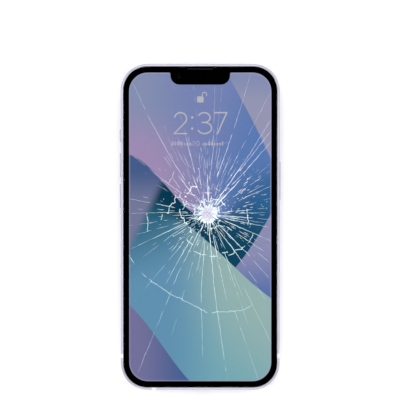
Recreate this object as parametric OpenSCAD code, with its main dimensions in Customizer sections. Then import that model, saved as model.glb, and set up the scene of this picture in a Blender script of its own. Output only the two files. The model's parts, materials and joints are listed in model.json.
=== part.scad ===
// Phone with a shattered front glass, lying on its back with the screen up.
// Every piece is drawn in the phone's own flat axes: x to its right, y to its top, z out of the screen,
// with z = 0 on the outer face of the rear glass. as_it_rests() then sets it down on its camera island
// and its lower edge, with the origin under the middle of the phone.

/* [Body] */
// Width across the side frame
body_w = 71.5; // [71:0.1:74]
// Length from the bottom edge to the top edge
body_l = 146.7; // [146:0.1:150]
// Height from the rear glass to the top of the cover glass
body_t = 7.65; // [7.6:0.05:8.2]
// Outer corner radius of the side frame, seen from the front
corner_r = 12; // [11.8:0.1:12.4]
// Width of frame that shows round the glass
lip_w = 1.05; // [1.05:0.05:1.3]

/* [Screen] */
// Depth of the notch, from the panel's top edge down
notch_depth = 5.4; // [5.2:0.1:5.8]
// Width of the notch cut in the panel
notch_w = 24.4; // [24.2:0.2:26]
// Length of the earpiece slot
earpiece_w = 11.7; // [9:0.1:12]

/* [Damage] */
// Where the screen was struck, from the middle of the phone
impact = [3.4, 5.9]; // [-10:0.1:10]
// Radius of the pit that the blow left
pit_r = 4.6; // [3:0.1:6]
// Depth of the pit
pit_depth = 0.35; // [0.2:0.05:0.5]
// Width of an open crack
crack_w = 0.14; // [0.1:0.02:0.3]
// Depth of an open crack
crack_depth = 0.3; // [0.1:0.05:0.5]

/* [Buttons] */
// How far each button and the switch stand proud of the side
proud = 0.45; // [0.3:0.05:0.6]
// Width of the volume and power buttons, across the side
button_h = 2.8; // [2.4:0.1:3]
// Length of each volume button
volume_l = 11; // [9:0.1:11]
// Length of the power button
power_l = 17.3; // [15:0.1:17.4]
// Length of the mute switch
mute_l = 5.6; // [5:0.1:5.7]

/* [Camera island] */
// Height of the island above the rear glass
island_h = 0.8; // [0.6:0.05:1]
// Height of the lens rings above the island
ring_h = 1; // [0.9:0.05:1.2]
// Outer radius of a lens ring
ring_r = 6.6; // [6.2:0.1:7]

/* [Hidden] */
$fn = 96;

eps = 0.01;
// Levels, from the rear glass upwards
glass_t = 0.7;
panel_t = 0.7;
back_plate_t = 0.3;
seal_t = 0.2;
rear_t = 0.9;
floor_t = 0.5;
floor_z = rear_t + floor_t;
glass_z = body_t - glass_t;
panel_z = glass_z - panel_t;
back_plate_z = panel_z - back_plate_t;
ledge_z = back_plate_z - seal_t;
frame_t = body_t - 0.15;
mid_z = frame_t / 2;

// Half sizes
half_w = body_w / 2;
half_l = body_l / 2;
wall_w = 2.4;
edge_r = 1;
inner_x = half_w - wall_w;
inner_y = half_l - wall_w;
fit_gap = 0.05;

// Insets from the outer side to the outline of each screen layer
glass_inset = lip_w + fit_gap;
panel_inset = 2.3;

// Camera island on the back
island_w = 25;
island_l = 33;
island_r = 7;
island_x = 18.6;
island_y = 53;
lens_x = 23.3;
wide_y = 61.7;
ultra_y = 44.9;
small_hole_x = 11.3;
flash_y = 58;
rear_mic_y = 46.5;
lens_window_r = 5;
ring_ease = 0.3;
bump_h = island_h + ring_h;
window_t = 0.4;
window_z = -bump_h + 0.2;
barrel_z = -island_h + 0.05;

// Buttons: middle of each along y, and the travel that its dome allows
volume_up_y = 27.85;
volume_down_y = 13.8;
power_y = 20.9;
mute_y = 41.2;
button_travel = 0.25;
flange_x = 1.75;
flange_t = 0.5;
pocket_x = 1.2;
nub_t = 0.3;
mute_travel = 1.3;
mute_h = 2.2;
mute_cap_in = 1.25;
mute_pocket_x = 1.35;

// SIM tray on the left side
tray_y = -22;
tray_head_w = 14.68;
tray_head_h = 2.18;
tray_head_t = 1.4;
tray_l = 16;
tray_w = 12;
tray_t = 0.9;
tray_z = 3.3;
card_l = 12.3;
card_w = 8.8;
card_t = 0.67;

// Charge port in the bottom edge
port_w = 9;
port_h = 3.26;
port_wall = 0.3;
port_l = 7.6;

// Bottom edge: screws, sound holes
bottom_screw_x = 6.9;
sound_hole_r = 0.75;
sound_hole_pitch = 2.4;
first_hole_x = 11.5;
speaker_holes = 5;
microphone_holes = 3;

// Antenna bands
band_w = 1.9;
side_band_y = -58;
bottom_band_x = -20.85;
band_depth = 1.1;

// Main board
board_z = 2.2;
board_t = 0.8;
board_top = board_z + board_t;
can_h = 1.4;
can_t = 0.2;
cover_step = 0.2;
boss_r = 1.3;
screw_r = 0.5;
// Board screws as x, y and the height of what the head sits on
board_screw_at = [
    [-31, -44.3, board_top], [-12, 36.6, board_top], [-31, 36.6, board_top], [4.5, 40, board_top],
    [-31, 62.6, board_top], [-30.8, -10.8, board_top + cover_step], [-30.8, -1.2, board_top + cover_step],
];
// Shielded areas of the board as x, y of the lower left corner, width and length
can_at = [[-31.8, 2, 20.8, 32], [-29.3, -43, 17, 10], [-8, 42, 21, 18], [-31.8, 39, 20, 22]];
// Chips as x, y of the lower left corner, width and length
chip_at = [
    [-28, 6, 12, 12], [-24, 22, 8, 10], [-26, -42, 9, 8], [-5, 46, 8, 8], [5, 44, 6, 6], [-28, 49, 8, 9],
];
chip_h = 1;
// Connectors on the board as x, y of the middle, width and length
connector_at = [
    [-14, -6, 4, 3], [-20, -6, 5.5, 3], [-26, -6, 5, 3], [-26, 36.6, 5, 2.4], [-20, 36.6, 5, 2.4],
];
connector_h = 0.9;

// Charging coil behind the battery
coil_y = -4;
coil_r = 21.5;
coil_hole_r = 10.5;
coil_turns = 9;
coil_t = 0.3;

// Battery
battery_x = -8.6;
battery_y = -46;
battery_w = 41.2;
battery_l = 79;
battery_t = 3.7;
battery_z = floor_z + 0.2;

// Parts in the notch
sensor_y = 67.76;
front_camera_x = -9.65;
infrared_x = 9.9;
sensor_floor_z = 3;
sensor_h = glass_z - sensor_floor_z - fit_gap;

// Open cracks that run out from the pit: angle and radius where each starts and ends
radial_cracks = [
    [5.8, 6, 27], [14, 9, 28], [24, 6, 30], [34.5, 6, 33], [46.5, 4, 24], [48.8, 24, 42], [55.5, 4, 50],
    [62.8, 22, 44], [74, 5, 65], [79.5, 6, 33], [106, 19, 40], [122, 20, 69], [128, 10, 32], [142, 15, 43],
    [169, 5, 35], [179, 15, 35], [196, 6, 36], [203.5, 4, 38], [213, 20, 40], [238.5, 16, 39],
    [245.5, 5, 77], [266, 18, 63], [276, 4, 75], [282.5, 12, 44], [286.5, 45, 77], [290, 28, 53],
    [296, 37, 63], [305.8, 5, 38], [314.5, 5, 39], [326, 5, 30], [338, 5, 30], [347, 15, 27],
    [354.5, 5, 27],
];
// Open cracks that run round the pit: radius, first angle and how far round
ring_cracks = [
    [11, 103, 34], [11.5, 158, 65], [15, 230, 15], [18.2, 242, 30], [20.5, 297, 41], [18, 345, 20],
    [17.5, 150, 29], [27.6, 180, 16], [39.5, 222, 31], [45, 281, 15],
];

// Resting: the phone leans back on the lower lens ring and on the rear edge of its bottom end
rest_front_y = ultra_y - ring_r + ring_ease;
rest_tilt = atan(bump_h / (rest_front_y + half_l - edge_r));
rest_lift = bump_h * cos(rest_tilt) - rest_front_y * sin(rest_tilt);
rest_shift = frame_t / 2 * sin(rest_tilt);

// ---- Shared shapes ----

module as_it_rests() {
    translate([0, rest_shift, rest_lift]) rotate([rest_tilt, 0, 0]) children();
}

module round_rect(w, l, r) {
    square([w - 2 * r, l], center = true);
    square([w, l - 2 * r], center = true);
    for (x = [-1, 1], y = [-1, 1])
        translate([x * (w / 2 - r), y * (l / 2 - r)]) circle(r = r);
}

module round_plate(w, l, r, t) {
    linear_extrude(t) round_rect(w, l, r);
}

// The outline of the phone drawn in by an inset, as a plate
module layer(inset, z, t) {
    translate([0, 0, z]) round_plate(body_w - 2 * inset, body_l - 2 * inset, corner_r - inset, t);
}

// A profile drawn in (distance out from the corner's centre, height), carried round a rounded rectangle
module carry_round(w, l, r) {
    cx = w / 2 - r;
    cy = l / 2 - r;
    for (q = [[1, 1, 0], [-1, 1, 90], [-1, -1, 180], [1, -1, 270]])
        translate([q[0] * cx, q[1] * cy, 0]) rotate(q[2]) rotate_extrude(angle = 90) children();
    for (s = [0, 180])
        rotate(s) {
            translate([cx, cy, 0]) rotate([90, 0, 0]) linear_extrude(2 * cy) children();
            translate([-cx, cy, 0]) rotate([90, 0, 90]) linear_extrude(2 * cx) children();
        }
}

// A rounded plate whose top edge is eased by the radius e
module eased_plate(w, l, r, t, e) {
    round_plate(w - 2 * e, l - 2 * e, r - e, t);
    carry_round(w, l, r)
        union() {
            translate([r - 2 * e, 0]) square([2 * e, t - e]);
            intersection() {
                translate([r - e, t - e]) circle(r = e);
                translate([r - e, t - 2 * e]) square([e, 2 * e]);
            }
        }
}

// A bar with a rounded section across y and z that runs along x from x0 to x1
module side_bar(x0, x1, l, h, r) {
    translate([x0, 0, 0]) rotate([90, 0, 90]) round_plate(l, h, r, x1 - x0);
}

// The same, with its outer edges, at x0, eased by the radius e
module eased_bar(x0, x1, l, h, r, e) {
    translate([x1, 0, 0]) rotate([90, 0, -90]) eased_plate(l, h, r, x1 - x0, e);
}

// A bar along y, with its section across x and z
module end_bar(y0, y1, w, h, r) {
    translate([0, y1, 0]) rotate([90, 0, 0]) round_plate(w, h, r, y1 - y0);
}

module box_from(corner, size) {
    translate(corner) cube(size);
}

// Mirrors what is drawn for the left side over to the right side
module on_right() {
    mirror([1, 0, 0]) children();
}

// ---- Screen unit ----

module crack_grooves() {
    translate([impact[0], impact[1], body_t - crack_depth]) {
        for (c = radial_cracks)
            rotate(c[0]) box_from([c[1], -crack_w / 2, 0], [c[2] - c[1], crack_w, 1]);
        for (c = ring_cracks)
            rotate(c[1]) rotate_extrude(angle = c[2]) translate([c[0], 0]) square([crack_w, 1]);
    }
}

module impact_pit() {
    ball_r = (pit_r * pit_r + pit_depth * pit_depth) / (2 * pit_depth);
    translate([impact[0], impact[1], body_t - pit_depth + ball_r]) sphere(r = ball_r);
}

module earpiece_slot(w, l, z, t) {
    slot_y = half_l - 2.25;
    translate([0, slot_y, z]) round_plate(w, l, l / 2 - eps, t);
}

module cover_glass() {
    w = body_w - 2 * glass_inset;
    l = body_l - 2 * glass_inset;
    color([0.75, 0.85, 0.88, 0.5]) as_it_rests() difference() {
        translate([0, 0, glass_z]) eased_plate(w, l, corner_r - glass_inset, glass_t, 0.3);
        earpiece_slot(earpiece_w, 0.7, glass_z - 1, 3);
        impact_pit();
        crack_grooves();
    }
}

module earpiece_mesh() {
    strands = 17;
    pitch = (earpiece_w - 1.2) / strands;
    color("dimgray") as_it_rests() difference() {
        earpiece_slot(earpiece_w - 0.1, 0.6, glass_z + 0.15, 0.35);
        for (i = [0:strands - 1])
            box_from([(i - strands / 2 + 0.25) * pitch, half_l - 2.4, glass_z], [pitch / 2, 0.3, 1]);
    }
}

module notch(w, depth, z, t) {
    top_y = half_l - panel_inset;
    r = 1.5;
    translate([0, top_y - depth / 2 + r, z]) round_plate(w, depth + 2 * r, r, t);
}

module display_panel() {
    color([0.1, 0.12, 0.2]) as_it_rests() difference() {
        layer(panel_inset, panel_z, panel_t);
        notch(notch_w, notch_depth, panel_z - 1, 3);
    }
}

module display_back_plate() {
    color("silver") as_it_rests() difference() {
        layer(panel_inset + 1, back_plate_z, back_plate_t);
        notch(notch_w + 2, notch_depth + 0.8, back_plate_z - 1, 3);
        for (y = [-40, 25]) translate([-22, y, back_plate_z - 1]) round_plate(6, 14, 1, 3);
    }
}

module display_frame() {
    lug_w = 2.8;
    lug_l = 1.6;
    lug_z = 2.6;
    ring_y = half_l - panel_inset + fit_gap;
    color([0.08, 0.08, 0.09]) as_it_rests() {
        difference() {
            layer(glass_inset + 0.1, back_plate_z, glass_z - back_plate_z);
            layer(panel_inset - fit_gap, back_plate_z - 1, glass_z);
            box_from([-6.2, half_l - 3, back_plate_z - 1], [12.4, 1.4, 4]);
        }
        for (x = [-bottom_screw_x, bottom_screw_x])
            difference() {
                union() {
                    box_from([x - lug_w / 2, -inner_y + 0.2, lug_z], [lug_w, lug_l, back_plate_z - lug_z]);
                    box_from([x - lug_w / 2, -ring_y - 0.1, back_plate_z], [lug_w, 1, back_plate_t]);
                }
                translate([x, 0, mid_z]) rotate([90, 0, 0]) cylinder(r = 0.6, h = half_l);
            }
    }
}

module screen_seal() {
    color([0.15, 0.15, 0.16]) as_it_rests() difference() {
        layer(glass_inset + 0.2, ledge_z, seal_t);
        layer(panel_inset - fit_gap, ledge_z - 1, 3);
    }
}

module display_flex() {
    strip_w = 5;
    strip_t = 0.15;
    plug_z = board_top + connector_h;
    fold_y = 13;
    color("darkgoldenrod") as_it_rests() translate([-20 + strip_w / 2, 0, 0]) rotate([90, 0, -90])
        linear_extrude(strip_w) union() {
            translate([-4, back_plate_z - strip_t]) square([fold_y + 4, strip_t]);
            translate([fold_y - strip_t, plug_z]) square([strip_t, back_plate_z - plug_z]);
            translate([4.5, plug_z]) square([fold_y - 4.5, strip_t]);
        }
}

module lens_module(x, base_w, base_l, barrel_r) {
    base_t = 1.6;
    box_from([x - base_w / 2, sensor_y - base_l / 2, sensor_floor_z], [base_w, base_l, base_t]);
    translate([x, sensor_y, sensor_floor_z + base_t])
        cylinder(r = barrel_r, h = glass_z - sensor_floor_z - base_t);
}

module front_camera() {
    color([0.12, 0.12, 0.14]) as_it_rests() difference() {
        lens_module(front_camera_x, 5.2, 5, 1.9);
        translate([front_camera_x, sensor_y, glass_z - 0.5]) cylinder(r = 1.1, h = 1);
    }
}

module infrared_camera() {
    color([0.2, 0.1, 0.12]) as_it_rests() difference() {
        lens_module(infrared_x, 4.8, 5, 1.7);
        translate([infrared_x, sensor_y, glass_z - 0.4]) cylinder(r = 0.9, h = 1);
    }
}

module dot_projector() {
    color([0.25, 0.2, 0.15]) as_it_rests()
        translate([5.6, sensor_y, sensor_floor_z]) round_plate(2.8, 4.2, 0.4, sensor_h);
}

module proximity_sensor() {
    color([0.2, 0.2, 0.25]) as_it_rests()
        translate([-5.4, sensor_y, sensor_floor_z]) round_plate(1.8, 1.6, 0.3, sensor_h);
}

module earpiece_speaker() {
    color([0.3, 0.3, 0.32]) as_it_rests() difference() {
        translate([0, sensor_y + 0.4, sensor_floor_z]) round_plate(7.8, 5, 0.8, 2.9);
        translate([0, sensor_y + 1.5, sensor_floor_z + 2.6]) round_plate(6, 1.6, 0.4, 1);
    }
}

module sensor_bracket() {
    color("lightgray") as_it_rests() difference() {
        translate([0, sensor_y + 0.2, sensor_floor_z - 0.3]) round_plate(25, 5.6, 0.8, 0.3);
        for (x = [-6.5, 4.1]) translate([x, sensor_y - 1.6, 0]) cylinder(r = 0.5, h = 6);
    }
}

// ---- Side frame and back ----

module frame_profile() {
    lip_u = corner_r - lip_w;
    wall_u = corner_r - wall_w;
    union() {
        translate([lip_u, edge_r]) square([lip_w, frame_t - 2 * edge_r]);
        translate([lip_u, 0]) square([lip_w - edge_r, frame_t]);
        translate([wall_u, rear_t]) square([lip_u - wall_u + eps, ledge_z - rear_t]);
        intersection() {
            union() {
                translate([corner_r - edge_r, edge_r]) circle(r = edge_r);
                translate([corner_r - edge_r, frame_t - edge_r]) circle(r = edge_r);
            }
            translate([lip_u, 0]) square([lip_w, frame_t]);
        }
    }
}

module frame_ring() {
    carry_round(body_w, body_l, corner_r) frame_profile();
}

// Slot and inner pocket of a button on the left side
module button_slot(y, l) {
    clear = 0.12;
    translate([-half_w, y, mid_z]) {
        side_bar(-1, pocket_x + eps, l + 2 * clear, button_h + 2 * clear, button_h / 2 + clear - eps);
        side_bar(pocket_x, wall_w + 0.1, l + 2.2, button_h + 0.9, 0.5);
    }
}

module mute_slot() {
    slot_h = mute_h + mute_travel + 0.1;
    translate([-half_w, mute_y, mid_z]) {
        side_bar(-1, mute_pocket_x + eps, mute_l + 0.3, slot_h, 0.9);
        side_bar(mute_pocket_x, wall_w + 0.1, mute_l + 1.8, slot_h + 0.1, 0.3);
    }
}

module tray_slot() {
    translate([-half_w, tray_y, mid_z])
        side_bar(-1, wall_w + 0.1, tray_head_w + 0.12, tray_head_h + 0.12, tray_head_h / 2);
}

module bottom_holes() {
    translate([0, 0, mid_z]) {
        end_bar(-half_l - 1, -inner_y + 0.1, port_w + 0.1, port_h + 0.1, port_h / 2);
        for (x = [-bottom_screw_x, bottom_screw_x])
            translate([x, 0, 0]) {
                end_bar(-half_l - 1, -inner_y + 0.1, 1.3, 1.3, 0.64);
                end_bar(-half_l - 1, -half_l + 1, 2, 2, 0.99);
            }
        for (i = [0:speaker_holes - 1])
            translate([first_hole_x + i * sound_hole_pitch, -inner_y + 0.1, 0])
                rotate([90, 0, 0]) cylinder(r = sound_hole_r, h = wall_w + 1);
        for (i = [0:microphone_holes - 1])
            translate([-first_hole_x - i * sound_hole_pitch, -inner_y + 0.1, 0])
                rotate([90, 0, 0]) cylinder(r = sound_hole_r, h = wall_w + 1);
    }
}

// The boxes in which the frame's skin is plastic and not metal
module band_boxes() {
    for (x = [-half_w - 1, half_w - band_depth])
        box_from([x, side_band_y - band_w / 2, -1], [band_depth + 1, band_w, body_t + 2]);
    box_from([bottom_band_x - band_w / 2, -half_l - 1, -1], [band_w, band_depth + 1, body_t + 2]);
}

module side_frame() {
    color([0.84, 0.83, 0.88]) as_it_rests() difference() {
        union() {
            frame_ring();
            difference() {
                layer(wall_w - 0.5, rear_t, floor_t);
                translate([island_x, island_y, 0]) round_plate(island_w - 2, island_l - 2, island_r - 1, 3);
                translate([0, coil_y, 0]) cylinder(r = coil_r + 0.5, h = 3);
                for (y = [-66, -30]) translate([24, y, 0]) round_plate(9, 6, 2, 3);
            }
            for (s = board_screw_at)
                translate([s[0], s[1], rear_t]) cylinder(r = boss_r, h = board_z - rear_t);
        }
        for (s = board_screw_at)
            translate([s[0], s[1], floor_z]) cylinder(r = screw_r, h = 3);
        band_boxes();
        button_slot(volume_up_y, volume_l);
        button_slot(volume_down_y, volume_l);
        on_right() button_slot(power_y, power_l);
        mute_slot();
        tray_slot();
        bottom_holes();
    }
}

module antenna_bands() {
    color([0.93, 0.93, 0.95]) as_it_rests() intersection() {
        frame_ring();
        band_boxes();
    }
}

module rear_glass() {
    color([0.9, 0.9, 0.92]) as_it_rests() difference() {
        layer(glass_inset, 0, rear_t);
        translate([island_x, island_y, -1])
            round_plate(island_w + 2 * fit_gap, island_l + 2 * fit_gap, island_r + fit_gap, 3);
    }
}

module at_lenses() {
    for (y = [wide_y, ultra_y]) translate([lens_x, y, 0]) children();
}

module camera_cover() {
    color([0.86, 0.86, 0.89]) as_it_rests() difference() {
        translate([island_x, island_y, rear_t]) mirror([0, 0, 1])
            eased_plate(island_w, island_l, island_r, rear_t + island_h, 0.4);
        at_lenses() translate([0, 0, -3]) cylinder(r = ring_r - 1, h = 6);
        translate([small_hole_x, flash_y, -3]) cylinder(r = 2.1, h = 6);
        translate([small_hole_x, rear_mic_y, -3]) cylinder(r = 0.5, h = 6);
    }
}

module lens_rings() {
    wall = ring_r - lens_window_r;
    color("silver") as_it_rests() at_lenses() rotate_extrude()
        union() {
            translate([lens_window_r - 0.5, window_z + window_t])
                square([ring_r - 1 - lens_window_r + 0.5, -window_z - window_t]);
            translate([lens_window_r, -bump_h]) square([wall - ring_ease, ring_h]);
            translate([lens_window_r, -bump_h + ring_ease]) square([wall, ring_h - ring_ease]);
            intersection() {
                translate([ring_r - ring_ease, -bump_h + ring_ease]) circle(r = ring_ease);
                translate([ring_r - ring_ease, -bump_h]) square([ring_ease, ring_ease]);
            }
        }
}

module lens_windows() {
    color([0.05, 0.05, 0.08]) as_it_rests() at_lenses()
        translate([0, 0, window_z]) cylinder(r = lens_window_r, h = window_t);
}

module flash_window() {
    color([0.98, 0.96, 0.85]) as_it_rests()
        translate([small_hole_x, flash_y, -island_h + 0.05]) cylinder(r = 2.1, h = 0.6);
}

// A camera module whose barrel is open towards its window, with a narrower stop further in
module rear_lens_module(y, size, barrel_r) {
    body_z = floor_z + 0.1;
    stop_z = 1.2;
    translate([lens_x, y, 0]) difference() {
        union() {
            translate([0, 0, body_z]) round_plate(size, size, 0.8, 3.7);
            translate([0, 0, barrel_z]) cylinder(r = barrel_r, h = body_z - barrel_z);
        }
        translate([0, 0, barrel_z - 1]) cylinder(r = barrel_r - 0.6, h = stop_z - barrel_z + 1);
        cylinder(r = barrel_r / 2, h = 2.6);
    }
}

module wide_camera() {
    color([0.15, 0.15, 0.17]) as_it_rests() rear_lens_module(wide_y, 11.6, 4.2);
}

module ultra_wide_camera() {
    color([0.15, 0.15, 0.17]) as_it_rests() rear_lens_module(ultra_y, 10, 3.6);
}

module camera_bracket() {
    sheet_t = 0.25;
    top_z = floor_z + 0.1 + 3.7;
    color("lightgray") as_it_rests() {
        difference() {
            translate([23.2, 52.3, top_z]) round_plate(14, 28, 2, sheet_t);
            translate([lens_x, (wide_y + ultra_y) / 2, top_z - 1]) round_plate(6, 3, 1.4, 3);
        }
        box_from([29.9, 48, floor_z], [sheet_t + 0.3, 6, top_z + sheet_t - floor_z]);
        box_from([20, 37, floor_z], [6, 0.4, top_z + sheet_t - floor_z]);
        box_from([20, 37, top_z], [6, 2, sheet_t]);
    }
}

module flash_module() {
    color([0.95, 0.9, 0.6]) as_it_rests() {
        translate([small_hole_x, flash_y, -0.1]) cylinder(r = 1.6, h = rear_t + 0.2);
        translate([small_hole_x, flash_y, rear_t]) round_plate(5, 5, 0.5, floor_t);
    }
}

module rear_microphone() {
    color("gold") as_it_rests()
        translate([small_hole_x, rear_mic_y, rear_t]) round_plate(3, 2.4, 0.3, 0.9);
}

// ---- Power and boards ----

module battery() {
    fold = 1.2;
    color([0.12, 0.12, 0.13]) as_it_rests() {
        translate([battery_x + battery_w / 2, battery_y + battery_l / 2, battery_z])
            round_plate(battery_w, battery_l, 1.5, battery_t);
        box_from([battery_x + 3, battery_y + battery_l - eps, battery_z + 1.2], [battery_w - 6, fold, 1.6]);
    }
}

module battery_adhesive() {
    color("white") as_it_rests()
        for (x = [6, 24])
            box_from([x - 3, battery_y + 2, floor_z], [6, battery_l - 4, battery_z - floor_z]);
}

module battery_flex() {
    color("darkgoldenrod") as_it_rests()
        box_from([-16, -7.5, board_top + connector_h], [16 + battery_x, 3, 0.15]);
}

module charging_coil() {
    pitch = (coil_r - coil_hole_r) / coil_turns;
    color([0.75, 0.42, 0.2]) as_it_rests() translate([0, coil_y, rear_t]) rotate_extrude()
        union() {
            translate([coil_hole_r, coil_t / 2]) square([coil_r - coil_hole_r, coil_t / 2]);
            for (i = [0:coil_turns - 1])
                translate([coil_hole_r + i * pitch, 0]) square([pitch * 0.8, coil_t / 2 + eps]);
        }
}

module coil_shield() {
    color([0.25, 0.25, 0.27]) as_it_rests()
        translate([0, coil_y, rear_t + coil_t]) cylinder(r = coil_r, h = floor_t - coil_t);
}

module main_board() {
    color([0.05, 0.2, 0.12]) as_it_rests() difference() {
        union() {
            box_from([-32.6, -46, board_z], [22.6, 110, board_t]);
            box_from([-10 - eps, 38, board_z], [24 + eps, 24, board_t]);
        }
        for (s = board_screw_at)
            translate([s[0], s[1], 0]) cylinder(r = screw_r + 0.05, h = 9);
    }
}

module board_chips() {
    color([0.08, 0.08, 0.08]) as_it_rests()
        for (c = chip_at) box_from([c[0], c[1], board_top], [c[2], c[3], chip_h]);
}

module board_shields() {
    color("silver") as_it_rests()
        for (c = can_at)
            translate([c[0], c[1], board_top]) difference() {
                cube([c[2], c[3], can_h]);
                box_from([can_t, can_t, -1], [c[2] - 2 * can_t, c[3] - 2 * can_t, can_h + 1 - can_t]);
            }
}

module board_connectors() {
    color([0.2, 0.18, 0.15]) as_it_rests()
        for (c = connector_at)
            box_from([c[0] - c[2] / 2, c[1] - c[3] / 2, board_top], [c[2], c[3], connector_h]);
}

module connector_cover() {
    cover_z = board_top + connector_h + 0.4;
    color("lightgray") as_it_rests() difference() {
        union() {
            box_from([-29.3, -9, cover_z], [17.6, 6, 0.2]);
            box_from([-29.3, -9, board_top], [0.2, 6, cover_z - board_top]);
            box_from([-32.2, -12.2, board_top], [3.1, 12.4, cover_step]);
        }
        for (y = [-10.8, -1.2]) translate([-30.8, y, 0]) cylinder(r = screw_r + 0.05, h = 9);
    }
}

module board_screws() {
    head_h = 0.5;
    color("silver") as_it_rests()
        for (s = board_screw_at)
            translate([s[0], s[1], s[2]]) difference() {
                union() {
                    cylinder(r = 1.15, h = head_h);
                    translate([0, 0, -1.4]) cylinder(r = screw_r, h = 1.4 + eps);
                }
                for (a = [0, 90]) rotate(a) translate([-0.65, -0.13, 0.25]) cube([1.3, 0.26, 1]);
            }
}

module antenna_flex() {
    color("darkgoldenrod") as_it_rests() {
        box_from([-20, 66, floor_z], [8, 4.6, 0.2]);
        box_from([-17, 64.2, floor_z], [3, 2, 0.2]);
    }
}

// ---- Bottom end ----

module charge_port() {
    mouth_y = -half_l + 0.3;
    color([0.75, 0.75, 0.78]) as_it_rests() translate([0, 0, mid_z]) {
        difference() {
            end_bar(mouth_y, mouth_y + port_l, port_w, port_h, port_h / 2 - eps);
            end_bar(mouth_y - 1, mouth_y + port_l - 1.2, port_w - 2 * port_wall, port_h - 2 * port_wall,
                port_h / 2 - port_wall - eps);
        }
        box_from([-3.35, mouth_y + 0.8, -0.35], [6.7, port_l - 1.6, 0.7]);
    }
}

module port_seal() {
    color([0.1, 0.1, 0.1]) as_it_rests() translate([0, 0, mid_z]) difference() {
        end_bar(-inner_y + fit_gap, -inner_y + 1, port_w + 1.6, port_h + 0.9, 2);
        end_bar(-inner_y - 1, -inner_y + 2, port_w, port_h, port_h / 2 - eps);
    }
}

module port_flex() {
    flex_t = 0.3;
    flex_z = mid_z - port_h / 2 - flex_t;
    color([0.15, 0.12, 0.05]) as_it_rests() translate([0, 0, flex_z]) {
        box_from([-17, -69.4, 0], [24, 8, flex_t]);
        box_from([-14, -61.5, 0], [4.5, 15.2, flex_t]);
    }
}

module loudspeaker() {
    color([0.16, 0.16, 0.17]) as_it_rests() difference() {
        intersection() {
            box_from([10, -inner_y + 0.35, floor_z + 0.1], [22.8, 20.5, 4]);
            layer(wall_w + 0.3, 0, body_t);
        }
        box_from([10.8, -inner_y, 2.8], [11.6, 1.4, 1.9]);
        translate([24, -58, 5.2]) round_plate(12, 12, 3, 2);
    }
}

module vibration_motor() {
    color("silver") as_it_rests()
        translate([-24.4, -56, floor_z + 0.1]) round_plate(13.4, 8.6, 0.8, 3.8);
}

module bottom_microphone() {
    color("gold") as_it_rests()
        translate([-13.9, -68.2, mid_z - port_h / 2]) round_plate(3.5, 2.4, 0.3, 2.2);
}

module bottom_meshes() {
    color([0.2, 0.2, 0.2]) as_it_rests()
        for (m = [[10.5, 11.6], [-17.5, 7.2]])
            box_from([m[0], -inner_y + fit_gap, 2.6], [m[1], 0.25, 2.3]);
}

module bottom_screws() {
    seat_y = -half_l + 1;
    color("silver") as_it_rests()
        for (x = [-bottom_screw_x, bottom_screw_x])
            translate([x, seat_y, mid_z]) rotate([90, 0, 0]) difference() {
                union() {
                    cylinder(r = 0.95, h = 0.8);
                    translate([0, 0, -4]) cylinder(r = 0.6, h = 4 + eps);
                }
                for (a = [0, 90]) rotate(a) translate([-0.55, -0.12, 0.4]) cube([1.1, 0.24, 1]);
            }
}

// ---- Buttons, switch and tray ----

// A button on the left side: cap, flange that keeps it in, and the nub that presses its dome
module button(y, l) {
    translate([-half_w, y, mid_z]) {
        eased_bar(-proud, flange_x - flange_t, l, button_h, button_h / 2 - eps, 0.25);
        side_bar(flange_x - flange_t, flange_x, l + 1.4, button_h + 0.6, 0.4);
        side_bar(flange_x - eps, flange_x + nub_t, 1.6, 1.6, 0.79);
    }
}

module volume_up_button() {
    color([0.8, 0.79, 0.85]) as_it_rests() button(volume_up_y, volume_l);
}

module volume_down_button() {
    color([0.8, 0.79, 0.85]) as_it_rests() button(volume_down_y, volume_l);
}

module power_button() {
    color([0.8, 0.79, 0.85]) as_it_rests() on_right() button(power_y, power_l);
}

module mute_switch() {
    color([0.8, 0.79, 0.85]) as_it_rests() translate([-half_w, mute_y, mid_z + mute_travel / 2]) {
        eased_bar(-proud, mute_cap_in, mute_l, mute_h, 0.8, 0.2);
        box_from([mute_cap_in - eps, -0.9, -0.5], [0.8, 1.8, 1]);
    }
}

module mute_switch_base() {
    slot_h = mute_travel + 1.2;
    color([0.15, 0.15, 0.15]) as_it_rests() translate([-half_w, mute_y, mid_z]) difference() {
        side_bar(mute_pocket_x + 0.1, wall_w + 0.05, mute_l + 1.6, 3.5, 0.3);
        box_from([mute_pocket_x, -1.05, -slot_h / 2], [0.85, 2.1, slot_h]);
    }
}

dome_face = wall_w + 0.05;
dome_t = 0.12;
flex_t = 0.15;

module dome(y) {
    translate([-half_w + dome_face - dome_t, y, mid_z]) rotate([0, 90, 0]) cylinder(r = 1.3, h = dome_t);
}

module button_domes() {
    color("silver") as_it_rests() {
        dome(volume_up_y);
        dome(volume_down_y);
        on_right() dome(power_y);
    }
}

// A strip along the inside of the left wall, from y0 to y1, starting x0 in from the outer side
module wall_strip(x0, t, y0, y1, h) {
    box_from([-half_w + x0, y0, mid_z - h / 2], [t, y1 - y0, h]);
}

module left_button_flex() {
    color("darkgoldenrod") as_it_rests() wall_strip(dome_face, flex_t, 10, 46, 3);
}

module right_button_flex() {
    color("darkgoldenrod") as_it_rests() on_right() wall_strip(dome_face, flex_t, 14, 31, 3);
}

module left_button_bracket() {
    color("lightgray") as_it_rests() wall_strip(dome_face + flex_t, 0.2, 8, 46, 3.6);
}

module right_button_bracket() {
    color("lightgray") as_it_rests() on_right() wall_strip(dome_face + flex_t, 0.2, 12, 33, 3.6);
}

module tray_bar(y0, y1, z0, z1, x0, x1) {
    box_from([-half_w + x0, y0, z0], [x1 - x0, y1 - y0, z1 - z0]);
}

tray_y0 = tray_y - tray_head_w / 2 + 0.54;
card_x0 = 3.6;
card_y0 = tray_y0 + (tray_w - card_w) / 2;
card_z = tray_z + 0.2;
tray_end = tray_head_t + tray_l;

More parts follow.
